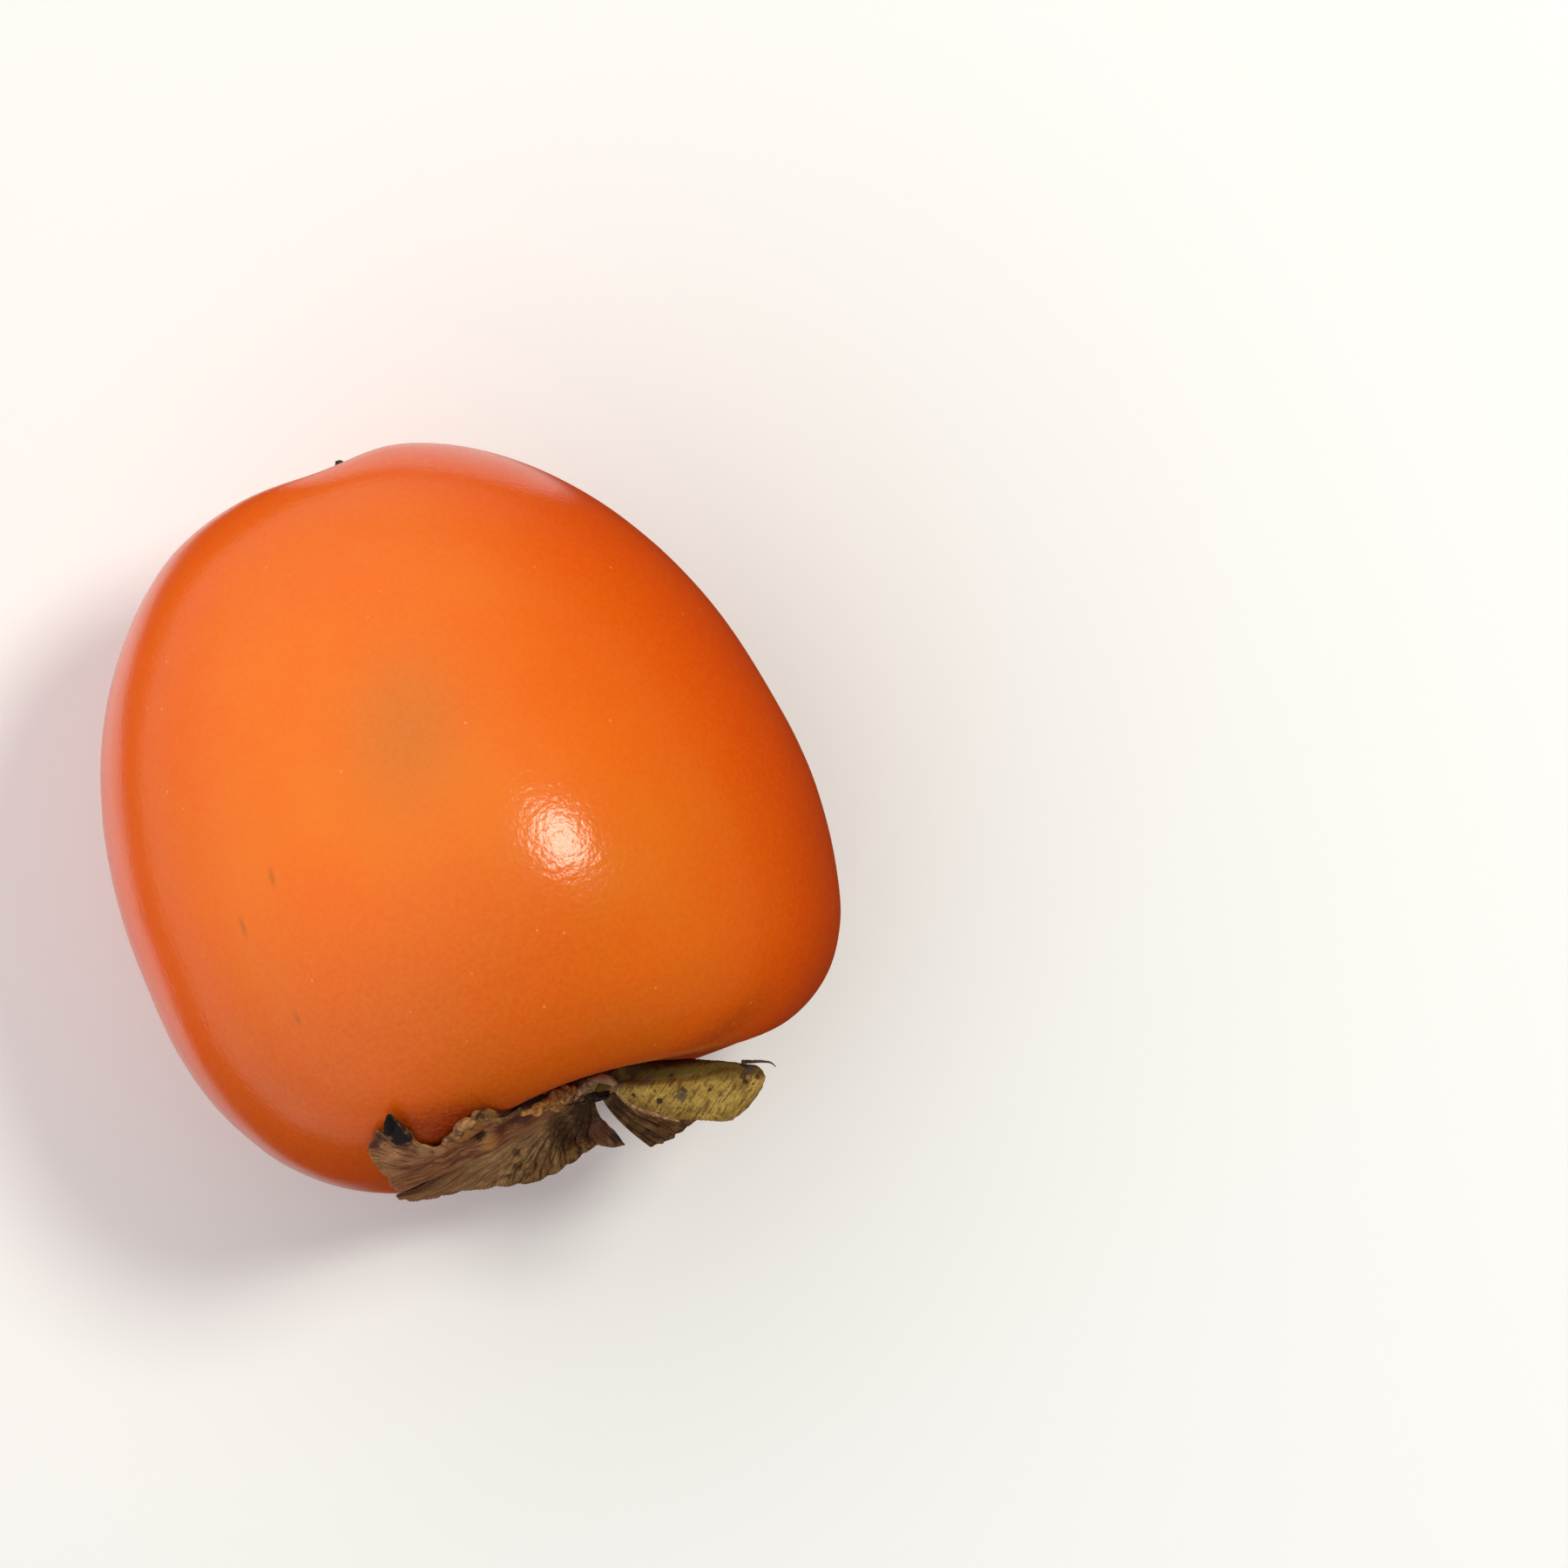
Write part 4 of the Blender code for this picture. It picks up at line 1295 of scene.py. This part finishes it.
# %% Spots, bands, specks and streaks of each sepal
# Each spot: to the right, outwards, radius, strength, tone.
LEAF_SPOTS = {
    "sepal_near_left": (
        (-22.6, -3.9, 1.0, 1.0, CHAR), (-22.3, -2.9, 1.1, 1.0, CHAR), (-21.8, -1.8, 1.0, 1.0, CHAR),
        (-24.7, -2.1, 0.9, 0.85, PLUM), (-19.7, 0.5, 0.6, 0.45, CREAM), (-18.0, 1.0, 0.6, 0.6, CREAM),
        (-16.5, 0.9, 0.6, 0.6, AMBER), (-14.9, 0.2, 0.9, 0.7, AMBER), (-13.3, -1.0, 0.8, 0.7, AMBER),
        (-11.9, -1.5, 0.7, 0.6, AMBER), (-13.3, 0.3, 0.55, 0.9, UMBER), (-12.3, 1.5, 0.8, 0.6, AMBER),
        (-16.4, 2.2, 0.8, 0.5, PLUM), (-10.2, -0.1, 1.2, 0.75, PLUM), (-8.3, -0.3, 1.2, 0.75, PLUM),
        (-21.5, 2.4, 1.0, 0.3, PLUM),
    ),
    "sepal_near_right": (
        # The slate spots here are painted shade in the sepal's pockets and hollows.
        (3.9, -1.8, 0.30, 0.9, UMBER), (2.4, -1.6, 0.6, 0.5, SLATE_SHADE), (5.6, -1.0, 0.5, 0.45, SLATE_SHADE),
        (8.2, -0.6, 0.22, 0.9, UMBER), (3.7, 0.5, 0.22, 0.9, UMBER), (6.2, 1.7, 0.28, 0.95, UMBER),
        (8.8, 1.9, 0.42, 0.8, SLATE_SHADE), (9.1, 1.3, 0.3, 0.8, UMBER), (15.9, 2.2, 0.25, 0.95, UMBER),
        (16.8, 0.7, 0.6, 0.7, SLATE_SHADE), (16.1, 1.2, 0.3, 0.8, UMBER), (17.2, 1.5, 0.25, 0.8, UMBER),
        (4.4, -2.9, 0.9, 0.8, UMBER), (6.5, -3.4, 0.8, 0.8, UMBER), (9.0, -3.6, 0.8, 0.7, UMBER),
    ),
    "sepal_far_left": (
        (-0.9, 3.4, 1.5, 0.75, PLUM), (-3.6, 2.6, 1.3, 0.75, UMBER), (-1.8, 1.0, 1.3, 0.8, UMBER),
        (-5.0, 3.2, 1.1, 0.7, UMBER), (0.6, 4.6, 0.5, 0.8, CHAR), (-9.9, 3.2, 0.4, 0.6, UMBER),
        (-10.2, 4.8, 0.4, 0.6, UMBER), (-5.0, 1.2, 1.0, 0.6, UMBER),
    ),
    "sepal_far_right": ((9.5, 3.5, 0.8, 0.4, UMBER), (2.0, 1.2, 1.0, 0.7, UMBER)),
}

# Each band across the fan: from, to, strength, tone.
LEAF_BANDS = {
    # Tan sepal: a painted highlight along its first edge, a plum band, and a char band at its far margin that
    # is painted shadow, the dark gap under its crest.
    "sepal_near_left": ((-0.1, 0.02, 0.7, RIDGE_HIGHLIGHT), (0.88, 0.96, 0.5, PLUM), (0.95, 1.1, 0.95, CHAR)),
    # Olive sepal: past the fold a moss band, green in tone and painted shade in its darkness, a rose band,
    # and a dark line along the fold that is painted shade.
    "sepal_near_right": ((0.84, 1.1, 0.9, MOSS_AND_SHADE), (0.40, 0.47, 0.7, ROSE), (0.815, 0.84, 0.5, UMBER)),
    # Lower left sepal: a tawny band, and a dark band at its first edge that is painted shadow under the tan
    # sepal's edge.
    "sepal_far_left": ((0.0, 0.38, 0.22, TAWNY), (-0.1, 0.05, 0.7, UMBER)),
    "sepal_far_right": (),
}

# How strong the specks are, and how long the dark streaks are in millimetres.
SPECKS = {"sepal_near_left": 0.35, "sepal_near_right": 0.85, "sepal_far_left": 0.4, "sepal_far_right": 0.3}
HATCHES = {"sepal_near_left": 5.0, "sepal_near_right": 1.5, "sepal_far_left": 5.0, "sepal_far_right": 4.0}

# %% Make the four sepals
SHEETS = {}
for name in SEPAL_RAYS:
    outer, inner, leaf, relief, fan = sepal_sheet(name)
    spots = [(from_above(outer, *spot[:2]), *spot[2:]) for spot in LEAF_SPOTS[name]]
    looks = (LEAF_TONES[name], LEAF_BANDS[name], spots, DRYING[name]["depth"], SPECKS[name], HATCHES[name])
    finish = leaf_finish("dried leaf of " + name, *looks)
    SHEETS[name] = outer
    sheet = leaf_object("dried_" + name, outer, inner, leaf, relief, fan, finish)
    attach(sheet, "root")
    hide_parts(name)
    print(name, triangles(sheet), "triangles")

# %% [markdown]
# ## The ring, the stem and the style
# The sepals join in a low, lumpy ring that hugs the skin. Inside it a short stump of the stem is left where
# the fruit was cut from the twig, dark and rough. At the other end of the fruit a tiny dried style stands in
# the dimple. All three are turned outlines with lumps pushed into them. A Screw modifier could turn them too,
# but the lumps would still have to be moved off the skin one point at a time.

# %% Turned pieces
THINNEST = 0.02
FINER_BY = 2.5


def turned(name, profile, finish, place, steps, sides, lump, clearance=None):
    """A closed, turned piece. profile: (radius, height) from its top down. lump: size, depth and seed."""
    rows = spline(profile, np.linspace(0.0, 1.0, steps))
    around = np.linspace(0.0, 2 * math.pi, sides, endpoint=False)
    radius, height = np.maximum(rows[1:-1, 0], THINNEST)[:, None], rows[1:-1, 1][:, None]
    points = np.stack([radius * np.cos(around), radius * np.sin(around), height + 0 * around], axis=-1)
    size, depth, seed = lump
    swell = lumps(points, size, seed) + 0.5 * lumps(points, size / FINER_BY, seed + 7)
    middle = np.array([0.0, 0.0, rows[:, 1].mean()])
    points = middle + (points - middle) * (1 + depth * swell[..., None])
    poles = np.array([(0.0, 0.0, points[0, :, 2].mean()), (0.0, 0.0, points[-1, :, 2].mean())])
    points = np.concatenate([points.reshape(-1, 3), poles])
    if clearance is not None:
        points = held_off(points, clearance)

    # Quads between the rows, and a fan of triangles round each of the two poles.
    count = (steps - 2) * sides
    start = np.arange(count - sides)
    right = start - start % sides + (start + 1) % sides
    faces = np.stack([start, start + sides, right + sides, right], axis=1).tolist()
    for i in range(sides):
        after = (i + 1) % sides
        faces.append((count, i, after))
        faces.append((count + 1, count - sides + after, count - sides + i))
    return closed_piece(name, place, points, faces, finish)


# %% [markdown]
# Dry bark and the dried ring share one crusty finish: patches of a body tone on a dark one, with pale crust
# and dark grain, over a rough bump.

# %% The crusty finish
CRUST_DEPTH = 0.2


def bark_finish(name, place, tones, size, roughness):
    """tones: dark, body and pale colours. size: how large the patches are, in millimetres."""
    dark, body, pale = tones
    material, tree, shader = new_finish(name)
    spot = own_frame(tree, place)
    patches = effect(BLOTCHES, spot, size=size, low=0.4, high=0.62)
    crust = effect(BLOTCHES, moved(spot, right=9.0), size=size * 0.4, low=0.5, high=0.66)
    grain = effect(BLOTCHES, spot, size=0.2, low=0.45, high=0.7)
    base = blend(crust * 0.7, blend(patches, dark, body), pale)
    fill(shader, {
        "Base Color": blend(grain * 0.4, base, dark),
        "Roughness": roughness + patches * 0.1,
        "Specular IOR Level": 0.15,
        "Normal": bumped(cloud(spot, 2.2, 4.0, 0.65), CRUST_DEPTH),
    })
    return material


# %% The ring and the stem's stump
RING_OUTLINE = (
    (0.0, -1.1), (1.2, -1.15), (2.3, -1.35), (2.9, -1.25), (3.4, -0.95), (4.0, -0.95),
    (4.5, -1.3), (4.6, -1.9), (4.2, -2.5), (3.2, -2.9), (1.8, -3.0), (0.0, -3.0),
)
STUB_OUTLINE = (
    (0.0, -0.35), (0.5, -0.3), (0.95, -0.15), (1.25, -0.3), (1.36, -0.55), (1.43, -0.8), (1.5, -1.0),
    (0.8, -1.05), (0.0, -1.05),
)
RING_TONES = (colour(0.10, 0.055, 0.03), colour(0.42, 0.25, 0.11), colour(0.62, 0.42, 0.22))
STUB_TONES = (colour(0.012, 0.007, 0.005), colour(0.05, 0.028, 0.018), colour(0.13, 0.075, 0.045))

ring_finish = bark_finish("calyx ring", calyx_place, RING_TONES, size=1.4, roughness=0.7)
ring = turned(
    "calyx_ring", RING_OUTLINE, ring_finish, calyx_place,
    steps=60, sides=160, lump=(1.1, 0.07, 41.0), clearance=SKIN_CLEARANCE,
)
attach(ring, "root")
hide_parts("calyx_disc")

stub_finish = bark_finish("stem bark", calyx_place, STUB_TONES, size=0.7, roughness=0.8)
stub = turned(
    "stem_stump", STUB_OUTLINE, stub_finish, calyx_place, steps=40, sides=96, lump=(0.7, 0.09, 53.0)
)
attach(stub, "root")
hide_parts("stem_stub")
print("ring and stump:", triangles(ring), triangles(stub), "triangles")

# %% [markdown]
# The style stands square to the skin. A line cast down on to the tip from outside finds its place and the
# skin's normal there.

# %% The dried style
STYLE_OUTLINE = (
    (0.0, 1.2), (0.25, 1.15), (0.45, 0.9), (0.55, 0.6), (0.68, 0.3), (0.8, 0.05), (0.6, 0.0), (0.0, 0.0),
)
STYLE_RIGHT = 7.0
STYLE_UP = 4.6
STYLE_CLEARANCE = 0.1
STYLE_TONES = (colour(0.03, 0.018, 0.012), colour(0.08, 0.045, 0.03), colour(0.2, 0.12, 0.07))

start = fruit_place @ (Vector((STYLE_RIGHT, -STYLE_UP, FAR_ABOVE)) * MM)
style_foot, style_way, _, _ = fine_skin.ray_cast(start, fruit_place.to_3x3() @ Vector((0, 0, -1)))
style_foot = style_foot + style_way * STYLE_CLEARANCE * MM
style_place = Matrix.Translation(style_foot) @ style_way.to_track_quat("Z", "Y").to_matrix().to_4x4()
style_finish = bark_finish("dried style", style_place, STYLE_TONES, size=0.4, roughness=0.8)
style = turned(
    "dried_style", STYLE_OUTLINE, style_finish, style_place, steps=30, sides=48, lump=(0.4, 0.1, 61.0)
)
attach(style, "root")
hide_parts("style_tip")
print("style:", triangles(style), "triangles")

# %% [markdown]
# Four thin rolls finish the calyx. One margin of the olive sepal is rolled to a pink cord that runs round the
# stump, and that sepal's far corner dried to a thin, hooked hair. A lumpy fold joins the tan sepal to the
# ring, and the tan sepal's far margin dried to a thick, lumpy crest. Each is a thread of changing thickness
# along a smooth path. A bevelled curve would be quicker, but its cross-section can't be lumpy.

# %% The rolls' paths
# Each path point: to the right, up, outwards and the thread's radius there, in millimetres.
ROLLS = {
    "margin_roll": (
        (-2.4, 4.6, -0.75, 0.32), (-1.4, 6.2, -1.3, 0.44), (0.0, 7.5, -1.65, 0.48), (1.35, 7.7, -1.6, 0.46),
        (2.2, 7.0, -1.05, 0.42), (2.4, 6.0, -0.15, 0.34), (3.0, 5.8, 0.9, 0.27), (3.6, 6.2, 1.85, 0.23),
        (5.5, 7.2, 3.3, 0.2), (6.6, 7.8, 4.15, 0.18), (8.0, 8.3, 4.95, 0.1),
    ),
    "foot_fold": (
        (-7.9, 16.4, 0.4, 0.2), (-6.4, 13.6, 0.05, 0.55), (-5.0, 11.2, -0.35, 0.9), (-3.6, 9.2, -0.95, 0.9),
        (-2.5, 7.2, -1.4, 0.6), (-1.9, 5.4, -1.3, 0.35),
    ),
    "sepal_hair": (
        (16.2, 12.1, 0.8, 0.22), (17.0, 12.8, 1.1, 0.2), (17.7, 13.4, 1.3, 0.17), (18.5, 13.6, 1.55, 0.13),
        (19.1, 13.7, 1.85, 0.09), (19.5, 13.7, 2.4, 0.05),
    ),
}

# %% The crest's path, along two margins of a sepal's sheet
CREST_START = 0.79
CREST_POINTS = 26
CREST_STOP = 0.50
CREST_COLUMN = 248
CREST_KEPT = 4
# The thread's radius at shares of the way along the crest.
CREST_SHARES = (0.0, 0.12, 0.4, 0.7, 1.0)
CREST_RADII = (0.15, 0.5, 0.62, 0.5, 0.2)

margin = SHEETS["sepal_near_left"]
columns = np.linspace(CREST_START, CREST_COLUMN / (SHEET_ACROSS - 1), CREST_POINTS) * (SHEET_ACROSS - 1)
rows = np.linspace(1.0, CREST_STOP, CREST_POINTS) * (SHEET_ALONG - 1)
crest = np.concatenate([margin[columns.astype(int), -2], margin[CREST_COLUMN, rows.astype(int)][2:]])
radii = np.interp(np.linspace(0.0, 1.0, len(crest)), CREST_SHARES, CREST_RADII)
ROLLS["crest_roll"] = np.column_stack([crest, radii])[::CREST_KEPT]

# %% Rolled margins
ROLL_SIDES = 16
ROLL_STEPS = 110
ROLL_ROUGHNESS = 0.7


def rolled(name, finish, lump):
    """A closed thread along its path that keeps clear of the skin. lump: size, depth and seed."""
    path = spline(ROLLS[name], np.linspace(0.0, 1.0, ROLL_STEPS))
    size, depth, seed = lump
    points = []
    for i, (right, up, outwards, radius) in enumerate(path.tolist()):
        way = Vector((path[min(i + 1, ROLL_STEPS - 1)] - path[max(i - 1, 0)])[:3])
        turn = way.to_track_quat("Z", "Y").to_matrix()
        for k in range(ROLL_SIDES):
            angle = 2 * math.pi * k / ROLL_SIDES
            side = turn @ Vector((math.cos(angle), math.sin(angle), 0.0))
            place = Vector((right, up, outwards)) + side * radius
            place += side * radius * depth * noise.noise(place / size + Vector((seed, 0, 0)))
            points.append(tuple(place))
    start = np.arange((ROLL_STEPS - 1) * ROLL_SIDES)
    after = start - start % ROLL_SIDES + (start + 1) % ROLL_SIDES
    faces = np.stack([start, after, after + ROLL_SIDES, start + ROLL_SIDES], axis=1).tolist()
    faces.append(tuple(range(ROLL_SIDES))[::-1])
    faces.append(tuple(range(len(start), len(start) + ROLL_SIDES)))
    roll = closed_piece(name, calyx_place, held_off(np.array(points), SKIN_CLEARANCE), faces, finish)
    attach(roll, "root")
    return roll


# %% Roll the four margins
CREST_TONES = (colour(0.15, 0.07, 0.03), colour(0.36, 0.18, 0.065), colour(0.58, 0.33, 0.14))
CORD_TONES = (colour(0.20, 0.10, 0.055), colour(0.46, 0.28, 0.15), colour(0.66, 0.45, 0.28))
FOLD_TONES = (colour(0.24, 0.10, 0.035), colour(0.62, 0.31, 0.085), colour(0.80, 0.50, 0.18))
# Each roll's piece, finish, tones and size of patches, and its lumps' size, depth and seed.
FINISHED_ROLLS = (
    ("margin_roll", "rolled margin", CORD_TONES, 1.2, (0.9, 0.5, 71.0)),
    ("foot_fold", "sepal's foot", FOLD_TONES, 1.2, (1.4, 0.8, 77.0)),
    ("crest_roll", "crest of the margin", CREST_TONES, 1.2, (1.5, 0.65, 91.0)),
    ("sepal_hair", "dried hair", STYLE_TONES, 0.5, (0.5, 0.2, 83.0)),
)
for piece, finish, tones, size, lump in FINISHED_ROLLS:
    roll = rolled(piece, bark_finish(finish, calyx_place, tones, size, ROLL_ROUGHNESS), lump)
    print(piece, triangles(roll), "triangles")
